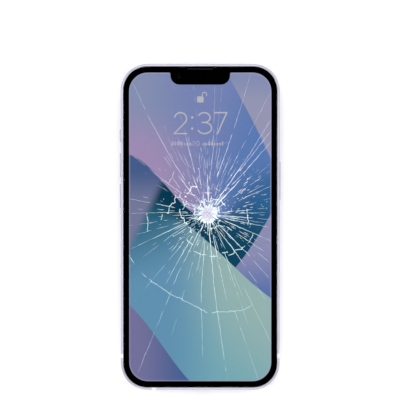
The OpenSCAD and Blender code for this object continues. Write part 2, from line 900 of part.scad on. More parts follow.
// The card's footprint in the tray, drawn in by an inset, from z0 upwards
module card_space(inset, z0) {
    y1 = card_y0 + card_w - inset;
    x1 = card_x0 + card_l - inset;
    tray_bar(card_y0 + inset, y1, z0, body_t, card_x0 + inset, x1);
}

module sim_tray() {
    pin_r = 0.45;
    pin_y = tray_y + tray_head_w / 2 - 1.1;
    color([0.82, 0.81, 0.86]) as_it_rests() difference() {
        union() {
            translate([-half_w, tray_y, mid_z])
                side_bar(0, tray_head_t, tray_head_w, tray_head_h, tray_head_h / 2 - eps);
            tray_bar(tray_y0, tray_y0 + tray_w, tray_z, tray_z + tray_t, tray_head_t - eps, tray_end);
        }
        card_space(-fit_gap, card_z);
        card_space(1, 0);
        translate([-half_w - 1, pin_y, mid_z]) rotate([0, 90, 0]) cylinder(r = pin_r, h = 4);
    }
}

module sim_tray_seal() {
    seal_x0 = tray_head_t;
    seal_x1 = tray_head_t + 0.7;
    color([0.1, 0.1, 0.1]) as_it_rests() difference() {
        translate([-half_w, tray_y - 0.6, mid_z])
            side_bar(seal_x0, seal_x1, tray_head_w - 1.2, tray_head_h - 0.06, tray_head_h / 2 - 0.05);
        tray_bar(tray_y0, tray_y0 + tray_w, tray_z, tray_z + tray_t, seal_x0 - 1, seal_x1 + 1);
    }
}

module sim_card() {
    color([0.95, 0.95, 0.95]) as_it_rests() difference() {
        tray_bar(card_y0, card_y0 + card_w, card_z, card_z + card_t, card_x0, card_x0 + card_l);
        translate([-half_w + card_x0 + card_l, card_y0, card_z - 1]) rotate(45)
            translate([-1.2, -1.2, 0]) cube([2.4, 2.4, 3]);
    }
}

module sim_reader() {
    shell_t = 0.2;
    x0 = wall_w + 0.8;
    x1 = tray_end + 1.2;
    y0 = tray_y0 - 0.8;
    y1 = tray_y0 + tray_w + 1.4;
    top = 4.9;
    color("silver") as_it_rests() difference() {
        tray_bar(y0, y1, board_top, top, x0, x1);
        tray_bar(y0 + shell_t, y1 - shell_t, board_top + shell_t, top - shell_t, x0 - 1, x1 - shell_t);
    }
}

// ---- The nodes ----

cover_glass();
earpiece_mesh();
display_panel();
display_back_plate();
display_frame();
screen_seal();
display_flex();
front_camera();
infrared_camera();
dot_projector();
proximity_sensor();
earpiece_speaker();
sensor_bracket();
side_frame();
antenna_bands();
rear_glass();
camera_cover();
lens_rings();
lens_windows();
flash_window();
wide_camera();
ultra_wide_camera();
camera_bracket();
flash_module();
rear_microphone();
battery();
battery_adhesive();
battery_flex();
charging_coil();
coil_shield();
main_board();
board_chips();
board_shields();
board_connectors();
connector_cover();
board_screws();
antenna_flex();
charge_port();
port_seal();
port_flex();
loudspeaker();
vibration_motor();
bottom_microphone();
bottom_meshes();
bottom_screws();
volume_up_button();
volume_down_button();
power_button();
mute_switch();
mute_switch_base();
button_domes();
left_button_flex();
right_button_flex();
left_button_bracket();
right_button_bracket();
sim_tray();
sim_tray_seal();
sim_card();
sim_reader();
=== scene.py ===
import json
import math
import random

import bmesh
import bpy
from mathutils import Matrix, Vector, noise
from mathutils.geometry import tessellate_polygon


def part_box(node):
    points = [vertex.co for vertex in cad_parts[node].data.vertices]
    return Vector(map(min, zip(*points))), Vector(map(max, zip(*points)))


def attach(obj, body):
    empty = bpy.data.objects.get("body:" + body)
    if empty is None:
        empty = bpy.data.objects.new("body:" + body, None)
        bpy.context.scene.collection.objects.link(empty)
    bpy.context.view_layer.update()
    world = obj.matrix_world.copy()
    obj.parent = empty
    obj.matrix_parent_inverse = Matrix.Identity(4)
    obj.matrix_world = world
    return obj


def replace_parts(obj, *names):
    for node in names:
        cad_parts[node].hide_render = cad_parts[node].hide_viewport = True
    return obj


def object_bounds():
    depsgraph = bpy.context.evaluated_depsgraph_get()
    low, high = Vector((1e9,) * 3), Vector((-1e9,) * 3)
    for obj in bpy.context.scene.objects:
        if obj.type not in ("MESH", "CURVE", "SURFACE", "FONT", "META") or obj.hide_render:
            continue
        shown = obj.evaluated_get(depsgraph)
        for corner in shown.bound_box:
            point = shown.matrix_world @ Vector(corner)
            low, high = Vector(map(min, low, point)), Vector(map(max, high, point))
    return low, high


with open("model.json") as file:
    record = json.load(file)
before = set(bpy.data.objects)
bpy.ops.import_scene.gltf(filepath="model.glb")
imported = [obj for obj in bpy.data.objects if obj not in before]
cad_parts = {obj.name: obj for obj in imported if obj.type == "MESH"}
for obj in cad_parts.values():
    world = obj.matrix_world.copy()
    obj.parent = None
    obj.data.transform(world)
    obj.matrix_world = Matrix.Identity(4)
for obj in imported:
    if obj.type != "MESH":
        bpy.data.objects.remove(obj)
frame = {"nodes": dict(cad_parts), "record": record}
CAD_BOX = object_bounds()
NODES = frame["nodes"]
RECORD = frame["record"]
MOUNTS = {m["name"]: m for m in RECORD["mounts"]}

# ---- The phone's own axes, in millimetres: x right, y up the screen, z out of the screen ----

MM = 0.001
BACK_MOUNT_Y = -40
SCREEN_AXIS = MOUNTS["screen_face"]["axis"]
TILT = math.atan2(-SCREEN_AXIS[1], SCREEN_AXIS[2])
TURN = Matrix.Rotation(TILT, 3, "X")
ORIGIN = Vector(MOUNTS["back_face"]["pos_m"]) - TURN @ Vector((0, BACK_MOUNT_Y * MM, 0))
PHONE = Matrix.Translation(ORIGIN) @ TURN.to_4x4()
UNPHONE = PHONE.inverted()

# Levels and outlines of the screen, in the phone's axes
GLASS_TOP = 7.65
GLASS_UNDER = 6.95
INK_T = 0.01
GLYPH_Z = 6.93
GLYPH_T = 0.01
PANEL_Z = 6.92
PANEL_UNDER = 6.26
GLASS_W, GLASS_L, GLASS_R = 69.3, 144.5, 10.9
GLASS_EASE = 0.3
PIT_R, PIT_DEPTH = 4.6, 0.35
ACTIVE_W, ACTIVE_L, ACTIVE_R = 63.9, 138.8, 8.4
NOTCH_HALF, NOTCH_DEPTH, NOTCH_R, NOTCH_FILLET = 13.4, 5.4, 4.2, 0.7
SLOT_Y, SLOT_W, SLOT_L = 71.1, 11.7, 0.7
CAMERA_X, CAMERA_Y = -9.65, 67.76
IMPACT = Vector((3.4, 5.9))


def polar(angle, radius):
    """The point at that angle in degrees and radius in mm from where the screen was struck."""
    a = math.radians(angle)
    return Vector((IMPACT.x + radius * math.cos(a), IMPACT.y + radius * math.sin(a)))


# ---- Meshes ----


def link_object(name, bm, material):
    mesh = bpy.data.meshes.new(name)
    bm.to_mesh(mesh)
    bm.free()
    mesh.materials.append(material)
    obj = bpy.data.objects.new(name, mesh)
    bpy.context.scene.collection.objects.link(obj)
    return obj


def add_object(name, bm, material):
    """Turns a mesh drawn in the phone's axes into an object of the frame that rides on the phone."""
    bmesh.ops.recalc_face_normals(bm, faces=bm.faces)
    bm.transform(PHONE @ Matrix.Scale(MM, 4))
    obj = link_object(name, bm, material)
    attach(obj, "phone")
    return obj


def fillet_loop(corners, steps=10):
    """A closed loop through (x, y, radius) corners, each rounded by its radius."""
    out = []
    n = len(corners)
    for i, (x, y, r) in enumerate(corners):
        p = Vector((x, y))
        a = (Vector(corners[i - 1][:2]) - p).normalized()
        b = (Vector(corners[(i + 1) % n][:2]) - p).normalized()
        if r <= 0:
            out.append(p)
            continue
        half = math.acos(max(-1, min(1, a.dot(b)))) / 2
        centre = p + (a + b).normalized() * (r / math.sin(half))
        start = p + a * (r / math.tan(half)) - centre
        sweep = start.angle_signed(p + b * (r / math.tan(half)) - centre)
        for k in range(steps + 1):
            out.append(centre + Matrix.Rotation(-sweep * k / steps, 2) @ start)
    return out


def rounded_rect(w, l, r, centre=(0, 0), steps=14):
    x, y = centre
    h, v = w / 2, l / 2
    corners = [(x + h, y + v, r), (x - h, y + v, r), (x - h, y - v, r), (x + h, y - v, r)]
    return fillet_loop(corners, steps)


def pit_level(r):
    """The level of the glass's top by distance from the struck place, as the CAD pit has it."""
    if r >= PIT_R:
        return GLASS_TOP
    ball = (PIT_R ** 2 + PIT_DEPTH ** 2) / (2 * PIT_DEPTH)
    return GLASS_TOP - PIT_DEPTH + ball - math.sqrt(ball * ball - r * r)


def circle(radius, centre=(0, 0), steps=48):
    x, y = centre
    return [
        Vector((x + radius * math.cos(math.tau * i / steps), y + radius * math.sin(math.tau * i / steps)))
        for i in range(steps)
    ]


def add_plate(bm, loops, z0, z1):
    """A flat plate between two levels; the first loop is its outline and the others are its holes."""
    flat = [[Vector((p.x, p.y, 0)) for p in loop] for loop in loops]
    points = [p for loop in flat for p in loop]
    low = [bm.verts.new((p.x, p.y, z0)) for p in points]
    high = [bm.verts.new((p.x, p.y, z1)) for p in points]
    for tri in tessellate_polygon(flat):
        bm.faces.new([high[i] for i in tri])
        bm.faces.new([low[i] for i in reversed(tri)])
    start = 0
    for loop in flat:
        n = len(loop)
        for i in range(n):
            a, b = start + i, start + (i + 1) % n
            bm.faces.new((low[a], low[b], high[b], high[a]))
        start += n


def loop_verts(bm, loop, z):
    return [bm.verts.new((p.x, p.y, z)) for p in loop]


def bridge(bm, a, b, smooth=False):
    """Faces between two loops of as many points."""
    for i in range(len(a)):
        j = (i + 1) % len(a)
        bm.faces.new((a[i], a[j], b[j], b[i])).smooth = smooth


def cap(bm, rows):
    """A flat face over the loops of vertices in rows: the first is its outline and the others are holes."""
    verts = [v for row in rows for v in row]
    flat = [[Vector((v.co.x, v.co.y, 0)) for v in row] for row in rows]
    for tri in tessellate_polygon(flat):
        bm.faces.new([verts[i] for i in tri])


def add_sliver(bm, points, widths, base, height):
    """A closed ridge along a path: as wide as widths says at each point, sharp along its top."""
    rings = []
    n = len(points)
    for i, p in enumerate(points):
        ahead = points[min(i + 1, n - 1)] - points[max(i - 1, 0)]
        side = Vector((-ahead.y, ahead.x)).normalized() * (widths[i] / 2)
        rings.append((
            bm.verts.new((p.x + side.x, p.y + side.y, base)),
            bm.verts.new((p.x, p.y, base + height)),
            bm.verts.new((p.x - side.x, p.y - side.y, base)),
        ))
    for a, b in zip(rings, rings[1:]):
        for i in range(3):
            j = (i + 1) % 3
            bm.faces.new((a[i], b[i], b[j], a[j]))
    bm.faces.new(rings[0])
    bm.faces.new(tuple(reversed(rings[-1])))


# ---- Materials ----


RANGE_KEYS = ("From Min", "From Max", "To Min", "To Max")


class Shader:
    """A new node material, with short calls for the nodes that every finish uses."""

    def __init__(self, name, **surface):
        self.material = bpy.data.materials.new(name)
        self.material.use_nodes = True
        self.tree = self.material.node_tree
        self.surface = self.tree.nodes["Principled BSDF"]
        for key, value in surface.items():
            self.surface.inputs[key.replace("_", " ")].default_value = value

    def node(self, kind, **settings):
        made = self.tree.nodes.new(kind)
        for key, value in settings.items():
            setattr(made, key, value)
        return made

    def feed(self, socket, value):
        """Links a socket's input, or sets it where the value is a plain number or colour."""
        if isinstance(value, bpy.types.NodeSocket):
            self.tree.links.new(value, socket)
        else:
            socket.default_value = value

    def place(self):
        """The point in the phone's axes, in mm."""
        coords = self.node("ShaderNodeTexCoord")
        mapping = self.node("ShaderNodeMapping")
        back = UNPHONE.translation / MM
        mapping.inputs["Scale"].default_value = (1 / MM,) * 3
        mapping.inputs["Rotation"].default_value = (-TILT, 0, 0)
        mapping.inputs["Location"].default_value = back
        self.tree.links.new(coords.outputs["Object"], mapping.inputs["Vector"])
        return mapping.outputs["Vector"]

    def split(self, vector):
        node = self.node("ShaderNodeSeparateXYZ")
        self.feed(node.inputs[0], vector)
        return node.outputs

    def join(self, x, y, z):
        node = self.node("ShaderNodeCombineXYZ")
        for socket, value in zip(node.inputs, (x, y, z)):
            self.feed(socket, value)
        return node.outputs[0]

    def math(self, operation, *values):
        node = self.node("ShaderNodeMath", operation=operation)
        for socket, value in zip(node.inputs, values):
            self.feed(socket, value)
        return node.outputs[0]

    def distance(self, x, y):
        """The length of the flat vector (x, y)."""
        return self.math("SQRT", self.math("ADD", self.math("MULTIPLY", x, x), self.math("MULTIPLY", y, y)))

    def scaled(self, vector, scale):
        node = self.node("ShaderNodeVectorMath", operation="MULTIPLY")
        self.feed(node.inputs[0], vector)
        node.inputs[1].default_value = scale
        return node.outputs[0]

    def step(self, value, low, high, to_low=0.0, to_high=1.0):
        """A soft step from low to high."""
        node = self.node("ShaderNodeMapRange", interpolation_type="SMOOTHSTEP")
        self.feed(node.inputs["Value"], value)
        for key, item in zip(RANGE_KEYS, (low, high, to_low, to_high)):
            self.feed(node.inputs[key], item)
        return node.outputs[0]

    def mix(self, factor, a, b, blend="MIX"):
        node = self.node("ShaderNodeMix", data_type="RGBA", blend_type=blend)
        self.feed(node.inputs[0], factor)
        self.feed(node.inputs[6], a)
        self.feed(node.inputs[7], b)
        return node.outputs[2]

    def noise(self, vector, scale, detail=2.0, roughness=0.5, distortion=0.0):
        node = self.node("ShaderNodeTexNoise")
        values = (vector, scale, detail, roughness, distortion)
        for key, item in zip(("Vector", "Scale", "Detail", "Roughness", "Distortion"), values):
            self.feed(node.inputs[key], item)
        return node.outputs[0]

    def cells(self, vector, scale, feature="F1"):
        node = self.node("ShaderNodeTexVoronoi", feature=feature)
        self.feed(node.inputs["Vector"], vector)
        node.inputs["Scale"].default_value = scale
        return node.outputs

    def bump(self, height, strength, distance):
        node = self.node("ShaderNodeBump")
        self.feed(node.inputs["Height"], height)
        node.inputs["Strength"].default_value = strength
        node.inputs["Distance"].default_value = distance
        self.tree.links.new(node.outputs[0], self.surface.inputs["Normal"])

    def colour(self, value):
        self.feed(self.surface.inputs["Base Color"], value)

    def rough(self, value):
        self.feed(self.surface.inputs["Roughness"], value)


def srgb(r, g, b):
    """A colour given as 0 to 255 on a screen, as the linear value that shaders use."""
    def linear(c):
        c /= 255
        return c / 12.92 if c <= 0.04045 else ((c + 0.055) / 1.055) ** 2.4

    return (linear(r), linear(g), linear(b), 1.0)


def grained(name, low, high, scale=3.0, rough=(0.4, 0.55), metallic=0.0, grain=0.1, stretch=(1, 1, 1)):
    """A finish that varies softly between two colours, with a fine grain."""
    s = Shader(name, Metallic=metallic)
    at = s.place()
    broad = s.noise(s.scaled(at, stretch), scale, 3.0)
    fine = s.noise(s.scaled(at, stretch), scale * 9, 2.0)
    s.colour(s.mix(broad, low, high))
    s.rough(s.step(fine, 0.3, 0.7, rough[0], rough[1]))
    s.bump(fine, grain, 0.00002)
    return s.material


# ---- Finishes, one for each of the record's material slots ----


def cover_glass_finish():
    """Clear glass with faint smears."""
    s = Shader("clear_glass", Transmission_Weight=1.0, IOR=1.5)
    at = s.place()
    smears = s.noise(s.scaled(at, (0.05, 0.02, 0.05)), 1.0, 4.0)
    s.colour(s.mix(smears, (0.97, 0.985, 0.98, 1), (0.99, 0.995, 1.0, 1)))
    s.rough(s.step(smears, 0.35, 0.75, 0.0, 0.035))
    return s.material


def satin_metal_finish():
    """Blasted and anodised aluminium: a fine even tooth, worn a little brighter here and there."""
    s = Shader("satin_metal", Metallic=1.0)
    at = s.place()
    broad = s.noise(s.scaled(at, (0.1, 0.1, 0.3)), 1.0, 3.0)
    tooth = s.noise(at, 9.0, 3.0, 0.6)
    s.colour(s.mix(broad, (0.485, 0.47, 0.565, 1), (0.54, 0.525, 0.62, 1)))
    s.rough(s.step(tooth, 0.3, 0.7, 0.42, 0.56))
    s.bump(tooth, 0.12, 0.00002)
    return s.material


def rear_glass_finish():
    """Polished glass over a pale print."""
    s = Shader("pale_backed_glass", Coat_Weight=1.0, Coat_Roughness=0.03, Coat_IOR=1.5)
    at = s.place()
    print_grain = s.noise(at, 6.0, 3.0, 0.6)
    smears = s.noise(s.scaled(at, (0.06, 0.03, 0.06)), 1.0, 4.0)
    s.colour(s.mix(print_grain, srgb(222, 219, 234), srgb(229, 227, 239)))
    s.rough(s.step(smears, 0.3, 0.8, 0.08, 0.2))
    return s.material


def lens_glass_finish():
    """Polished glass with a coating that goes from blue to violet."""
    s = Shader("coated_lens", Transmission_Weight=1.0, IOR=1.5, Coat_Weight=0.6, Coat_IOR=1.8)
    at = s.place()
    tint = s.noise(s.scaled(at, (0.2, 0.2, 0.2)), 1.0, 1.0)
    s.colour(s.mix(tint, (0.55, 0.6, 0.85, 1), (0.75, 0.6, 0.85, 1)))
    s.rough(s.step(tint, 0.3, 0.8, 0.0, 0.03))
    return s.material


def flash_lens_finish():
    """A moulded window with a fine ribbed pattern under it."""
    s = Shader("flash_window_glass", Transmission_Weight=0.7, IOR=1.48)
    x, y, _ = s.split(s.place())
    ribs = s.math("SINE", s.math("MULTIPLY", s.math("ADD", x, y), 14.0))
    s.colour(s.mix(s.step(ribs, -1.0, 1.0), (0.95, 0.9, 0.72, 1), (1.0, 0.98, 0.9, 1)))
    s.rough(s.step(ribs, -1.0, 1.0, 0.1, 0.3))
    s.bump(ribs, 0.3, 0.00003)
    return s.material


def copper_finish():
    """Flat wound wire: fine rings round the middle of the coil."""
    s = Shader("wound_copper", Metallic=0.85, Coat_Weight=0.4, Coat_Roughness=0.2)
    x, y, _ = s.split(s.place())
    centre_y = sum(c.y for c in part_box("charging_coil")) / 2 / MM
    away = s.distance(x, s.math("SUBTRACT", y, centre_y))
    wires = s.math("SINE", s.math("MULTIPLY", away, 20.0))
    s.colour(s.mix(s.step(wires, -1.0, 1.0), (0.45, 0.16, 0.06, 1), (0.82, 0.42, 0.2, 1)))
    s.rough(s.step(wires, -1.0, 1.0, 0.45, 0.25))
    s.bump(wires, 0.4, 0.00004)
    return s.material


def board_finish():
    """Dark solder mask with copper tracks and pads showing through it."""
    s = Shader("solder_mask", Coat_Weight=0.5, Coat_Roughness=0.15)
    at = s.place()
    tracks = s.node("ShaderNodeTexBrick")
    s.feed(tracks.inputs["Vector"], at)
    for key, value in (
        ("Scale", 1.0), ("Mortar Size", 0.07), ("Brick Width", 1.9), ("Row Height", 0.55),
        ("Color1", (0.01, 0.06, 0.035, 1)), ("Color2", (0.012, 0.075, 0.045, 1)),
        ("Mortar", (0.05, 0.2, 0.1, 1)),
    ):
        tracks.inputs[key].default_value = value
    pads = s.cells(at, 0.7)["Distance"]
    s.colour(s.mix(s.step(pads, 0.16, 0.12), tracks.outputs["Color"], (0.75, 0.6, 0.3, 1)))
    s.rough(s.step(tracks.outputs["Fac"], 0.0, 1.0, 0.4, 0.3))
    s.bump(tracks.outputs["Fac"], 0.3, 0.00002)
    return s.material


def mesh_finish():
    """Fine woven wire, seen as rows of tiny openings."""
    s = Shader("woven_mesh", Specular_IOR_Level=0.1)
    x, y, z = s.split(s.place())
    across = s.math("SINE", s.math("MULTIPLY", x, 5.7))
    along = s.math("SINE", s.math("MULTIPLY", s.math("ADD", y, z), 16.0))
    weave = s.math("MULTIPLY", across, along)
    s.colour(s.mix(s.step(weave, -0.5, 0.5), (0.001, 0.001, 0.001, 1), (0.01, 0.01, 0.013, 1)))
    s.rough(s.step(weave, -0.5, 0.5, 0.9, 0.6))
    s.bump(weave, 0.6, 0.00004)
    return s.material


def battery_finish():
    """A foil pouch with faint wrinkles."""
    s = Shader("pouch_foil", Metallic=0.25, Coat_Weight=0.2, Coat_Roughness=0.3)
    at = s.place()
    wrinkles = s.noise(s.scaled(at, (0.35, 0.12, 0.3)), 1.0, 5.0, 0.55, 0.6)
    s.colour(s.mix(wrinkles, (0.012, 0.012, 0.014, 1), (0.04, 0.04, 0.045, 1)))
    s.rough(s.step(wrinkles, 0.3, 0.7, 0.35, 0.6))
    s.bump(wrinkles, 0.4, 0.0001)
    return s.material


def port_finish():
    """Bright steel at the socket's mouth, and painted shade inside it: the inside is coloured near black and
    not metallic.
    """
    s = Shader("socket_steel_painted_shade_inside", Specular_IOR_Level=0.3)
    at = s.place()
    mouth = s.step(s.split(at)[1], -72.3, -72.9)
    drawn = s.noise(s.scaled(at, (2, 2, 2)), 2.0)
    steel = s.mix(drawn, (0.5, 0.5, 0.52, 1), (0.62, 0.62, 0.64, 1))
    # Painted shade: past the mouth the socket is coloured near black, in place of the shade inside it
    s.colour(s.mix(mouth, (0.006, 0.006, 0.007, 1), steel))
    s.rough(s.step(mouth, 0.0, 1.0, 0.6, 0.3))
    s.feed(s.surface.inputs["Metallic"], mouth)
    return s.material


# Finishes that vary only between two colours, by slot: a name, the colours, the scale of the change, and
# then the range of roughness, how metallic it is, the depth of its grain and how that is stretched
PLAIN_FINISHES = {
    "display_panel": ("panel_edge", (0.01, 0.01, 0.012, 1), (0.02, 0.02, 0.024, 1), 1.0),
    "steel_sheet": ("rolled_steel", (0.42, 0.42, 0.44, 1), (0.56, 0.56, 0.58, 1), 1.0,
                    (0.28, 0.42), 1.0, 0.08, (0.3, 3, 1)),
    "bright_steel": ("bright_steel", (0.42, 0.42, 0.44, 1), (0.55, 0.55, 0.57, 1), 1.5,
                     (0.22, 0.36), 1.0, 0.05),
    "black_plastic": ("moulded_black", (0.008, 0.008, 0.009, 1), (0.016, 0.016, 0.018, 1), 1.5, (0.45, 0.6)),
    "black_rubber": ("black_rubber", (0.006, 0.006, 0.006, 1), (0.012, 0.012, 0.012, 1), 2.0, (0.7, 0.85)),
    "amber_film": ("amber_film", (0.28, 0.12, 0.015, 1), (0.4, 0.19, 0.03, 1), 0.8,
                   (0.25, 0.4), 0.0, 0.1, (0.4, 2, 1)),
    "camera_body": ("camera_black", (0.008, 0.008, 0.01, 1), (0.014, 0.014, 0.018, 1), 2.0, (0.35, 0.5)),
    "band_plastic": ("band_plastic", srgb(222, 221, 233), srgb(229, 228, 238), 1.2, (0.42, 0.55)),
    "flash_emitter": ("phosphor", (0.8, 0.62, 0.12, 1), (0.9, 0.75, 0.2, 1), 4.0),
    "gilt_can": ("gilt_can", (0.7, 0.48, 0.16, 1), (0.8, 0.58, 0.24, 1), 2.0, (0.25, 0.35), 1.0),
    "white_tape": ("stretch_tape", (0.7, 0.7, 0.7, 1), (0.82, 0.82, 0.82, 1), 1.0,
                   (0.4, 0.55), 0.0, 0.1, (1, 0.1, 1)),
    "ferrite": ("ferrite_sheet", (0.012, 0.012, 0.014, 1), (0.03, 0.03, 0.034, 1), 2.5, (0.5, 0.7)),
    "chip_resin": ("chip_resin", (0.01, 0.01, 0.01, 1), (0.022, 0.022, 0.022, 1), 2.0, (0.55, 0.7)),
    "card_plastic": ("card_plastic", (0.56, 0.56, 0.58, 1), (0.62, 0.62, 0.63, 1), 1.0, (0.3, 0.4)),
}


def finishes():
    """Each of the record's slots with the material that its CAD nodes get."""
    return {
        **{slot: grained(*row) for slot, row in PLAIN_FINISHES.items()},
        "cover_glass": cover_glass_finish(),
        "dark_mesh": mesh_finish(),
        "frame_aluminium": satin_metal_finish(),
        "rear_glass": rear_glass_finish(),
        "lens_glass": lens_glass_finish(),
        "flash_lens": flash_lens_finish(),
        "battery_wrap": battery_finish(),
        "coil_copper": copper_finish(),
        "board_laminate": board_finish(),
    }


def dress_nodes(finish):
    """Gives every CAD node the finish of its slot, and the socket, with painted shade inside it, one of its
    own.
    """
    own = {"charge_port": port_finish()}
    for part in RECORD["subparts"]:
        mesh = NODES[part["node"]].data
        mesh.materials.clear()
        mesh.materials.append(own.get(part["node"], finish[part["material_slot"]]))


# ---- The lit screen ----

# The picture's waves: each crest's level at the middle, its slope, and its swell's height, length and phase
CORNER_WAVE = (92.5, -1.95, 1.2, 40, -2.04)
UPPER_WAVE = (16.4, -0.12, 12.6, 76, 4.38)
SIDE_WAVE = (-38, 1.45, 4.0, 60, 2.4)
MIDDLE_WAVE = (-6.5, -0.7, 3.2, 76, 2.07)
LOWER_WAVE = (-68.8, -0.9, 5.0, 60, 4.92)


def crest(s, x, wave):
    """The height of a soft wave's crest at x."""
    level, slope, swell, length, phase = wave
    bend = s.math("SINE", s.math("MULTIPLY_ADD", x, math.tau / length, phase))
    return s.math("MULTIPLY_ADD", bend, swell, s.math("MULTIPLY_ADD", x, slope, level))


def below(s, y, top, soft=0.25):
    """1 under a crest and 0 above it, over soft mm either way."""
    return s.step(s.math("SUBTRACT", top, y), s.math("MULTIPLY", soft, -1.0), soft)


def sky_colour(s, x, y):
    """The pale field above the waves: grey blue, turning rose at the left and deeper blue at the right."""
    field = s.mix(s.step(x, -30, 0), srgb(132, 142, 176), srgb(118, 130, 178))
    field = s.mix(s.step(s.math("MULTIPLY_ADD", y, -0.35, x), -18, 14), field, srgb(88, 121, 178))
    shade = s.math("MULTIPLY", s.step(x, 6, 30), s.step(y, 34, 8))
    field = s.mix(shade, field, srgb(54, 100, 148))
    lean = s.math("MULTIPLY_ADD", y, 0.5, x)
    rose = s.math("MULTIPLY", s.step(lean, 22, -10), s.step(y, 58, 34))
    return s.mix(rose, field, srgb(158, 138, 178))


def deep_colour(s, x, y):
    """The dark wave across the middle."""
    field = s.mix(s.step(x, 6, 30), srgb(4, 56, 80), srgb(45, 98, 146))
    return s.mix(s.step(y, 14, -10), field, srgb(12, 67, 93))


def lagoon_colour(s, x, under):
    """The pale wave that fills the lower half, by how far under its crest a point is."""
    depth = s.math("ADD", under, s.math("MULTIPLY_ADD", x, 0.8, 17.5))
    left = s.mix(s.step(depth, -4, 36), srgb(28, 92, 116), srgb(96, 144, 175))
    right = s.mix(s.step(under, 4, 62), srgb(148, 177, 174), srgb(114, 166, 177))
    return s.mix(s.step(x, -16, 13), left, right)


def with_dusk(s, x, y, field):
    """A field with dusk over its left side."""
    lean = s.math("MULTIPLY_ADD", y, -0.5, x)
    dusk = s.mix(s.step(y, 27, 9), srgb(68, 91, 137), srgb(115, 119, 152))
    return s.mix(s.step(lean, -24.5, -30), field, dusk)


def painted_edge_highlight(s, x, y):
    """1 along the inside edge of the lit area, where a thin painted highlight is drawn into the picture."""
    bx = s.math("MAXIMUM", s.math("SUBTRACT", s.math("ABSOLUTE", x), ACTIVE_W / 2 - ACTIVE_R), 0.0)
    by = s.math("MAXIMUM", s.math("SUBTRACT", s.math("ABSOLUTE", y), ACTIVE_L / 2 - ACTIVE_R), 0.0)
    return s.step(s.distance(bx, by), ACTIVE_R - 0.7, ACTIVE_R - 0.2)


def screen_finish():
    """A generic picture of soft waves, lit from behind."""
    s = Shader("lit_screen", Roughness=0.35, Specular_IOR_Level=0.05, Emission_Strength=1.1)
    x, y, _ = s.split(s.place())
    field = sky_colour(s, x, y)
    corner = crest(s, x, CORNER_WAVE)
    haze = s.mix(s.step(y, 54, 68), srgb(149, 149, 178), srgb(132, 141, 177))
    field = s.mix(below(s, corner, y), field, haze)
    upper = crest(s, x, UPPER_WAVE)
    deep = with_dusk(s, x, y, deep_colour(s, x, y))
    field = s.mix(below(s, y, upper, s.step(x, 5, 20, 0.25, 9.0)), field, deep)
    side = crest(s, x, SIDE_WAVE)
    lilac = s.mix(s.step(y, -8, -34), srgb(140, 140, 178), srgb(84, 110, 168))
    field = s.mix(below(s, y, side), field, lilac)
    middle = crest(s, x, MIDDLE_WAVE)
    under = s.math("SUBTRACT", middle, y)
    lagoon = with_dusk(s, x, y, lagoon_colour(s, x, under))
    field = s.mix(below(s, y, middle, s.step(x, -2, -24, 0.25, 9.0)), field, lagoon)
    lower = crest(s, x, LOWER_WAVE)
    violet = s.mix(s.step(x, -30, -6), srgb(114, 112, 154), srgb(72, 95, 145))
    field = s.mix(below(s, y, lower), field, violet)
    # A thin painted highlight, pale lavender, along the inside edge of the lit area
    field = s.mix(s.math("MULTIPLY", painted_edge_highlight(s, x, y), 0.4), field, srgb(176, 172, 206))
    s.colour((0, 0, 0, 1))
    s.feed(s.surface.inputs["Emission Color"], field)
    return s.material


def glow_finish(name, colour):
    """A lit mark on the screen, a little uneven as fine strokes on a panel are."""
    s = Shader(name, Roughness=0.4, Emission_Strength=1.07)
    uneven = s.noise(s.place(), 3.0, 1.0)
    s.colour((0, 0, 0, 1))
    dimmer = tuple(c * 0.93 for c in colour[:3]) + (1,)
    s.feed(s.surface.inputs["Emission Color"], s.mix(uneven, dimmer, colour))
    return s.material


def active_loop():
    """The outline of the lit area, with the notch in its top edge."""
    h, v, r = ACTIVE_W / 2, ACTIVE_L / 2, ACTIVE_R
    return fillet_loop([
        (h, v, r), (NOTCH_HALF, v, NOTCH_FILLET), (NOTCH_HALF, v - NOTCH_DEPTH, NOTCH_R),
        (-NOTCH_HALF, v - NOTCH_DEPTH, NOTCH_R), (-NOTCH_HALF, v, NOTCH_FILLET), (-h, v, r),
        (-h, -v, r), (h, -v, r),
    ], 14)


def earpiece_loop(grow=0.0):
    """The outline of the earpiece slot, or one that is larger by grow."""
    return rounded_rect(SLOT_W + grow, SLOT_L + grow, (SLOT_L + grow) / 2 - 0.01, (0, SLOT_Y), 8)


def add_cover_glass(clear):
    """The glass sheet: an eased edge, the earpiece slot and the pit where it was struck."""
    bm = bmesh.new()
    outline = rounded_rect(GLASS_W, GLASS_L, GLASS_R)
    under = loop_verts(bm, outline, GLASS_UNDER)
    side = loop_verts(bm, outline, GLASS_TOP - GLASS_EASE)
    bridge(bm, under, side)
    ease_steps = 5
    for k in range(1, ease_steps + 1):
        a = math.radians(90 * k / ease_steps)
        inset = GLASS_EASE * (1 - math.cos(a))
        loop = rounded_rect(GLASS_W - 2 * inset, GLASS_L - 2 * inset, GLASS_R - inset)
        above = loop_verts(bm, loop, GLASS_TOP - GLASS_EASE * (1 - math.sin(a)))
        bridge(bm, side, above, smooth=True)
        side = above
    slot_under = loop_verts(bm, earpiece_loop(), GLASS_UNDER)
    slot_top = loop_verts(bm, earpiece_loop(), GLASS_TOP)
    bridge(bm, slot_under, slot_top)
    rings = 10
    rim = loop_verts(bm, circle(PIT_R, IMPACT, 72), GLASS_TOP)
    cap(bm, [side, slot_top, rim])
    cap(bm, [under, slot_under])
    for k in range(1, rings):
        r = PIT_R * (1 - k / rings)
        lower = loop_verts(bm, circle(r, IMPACT, 72), pit_level(r))
        bridge(bm, rim, lower, smooth=True)
        rim = lower
    bm.faces.new(rim)
    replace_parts(add_object("cover_sheet", bm, clear), "cover_glass")


def add_screen():
    """The panel, which stands for the CAD one: its picture shows through the glass."""
    low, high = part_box("display_panel")
    width = (high.x - low.x) / MM
    bm = bmesh.new()
    add_plate(bm, [panel_loop(width)], PANEL_UNDER, PANEL_Z)
    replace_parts(add_object("lit_display", bm, screen_finish()), "display_panel")


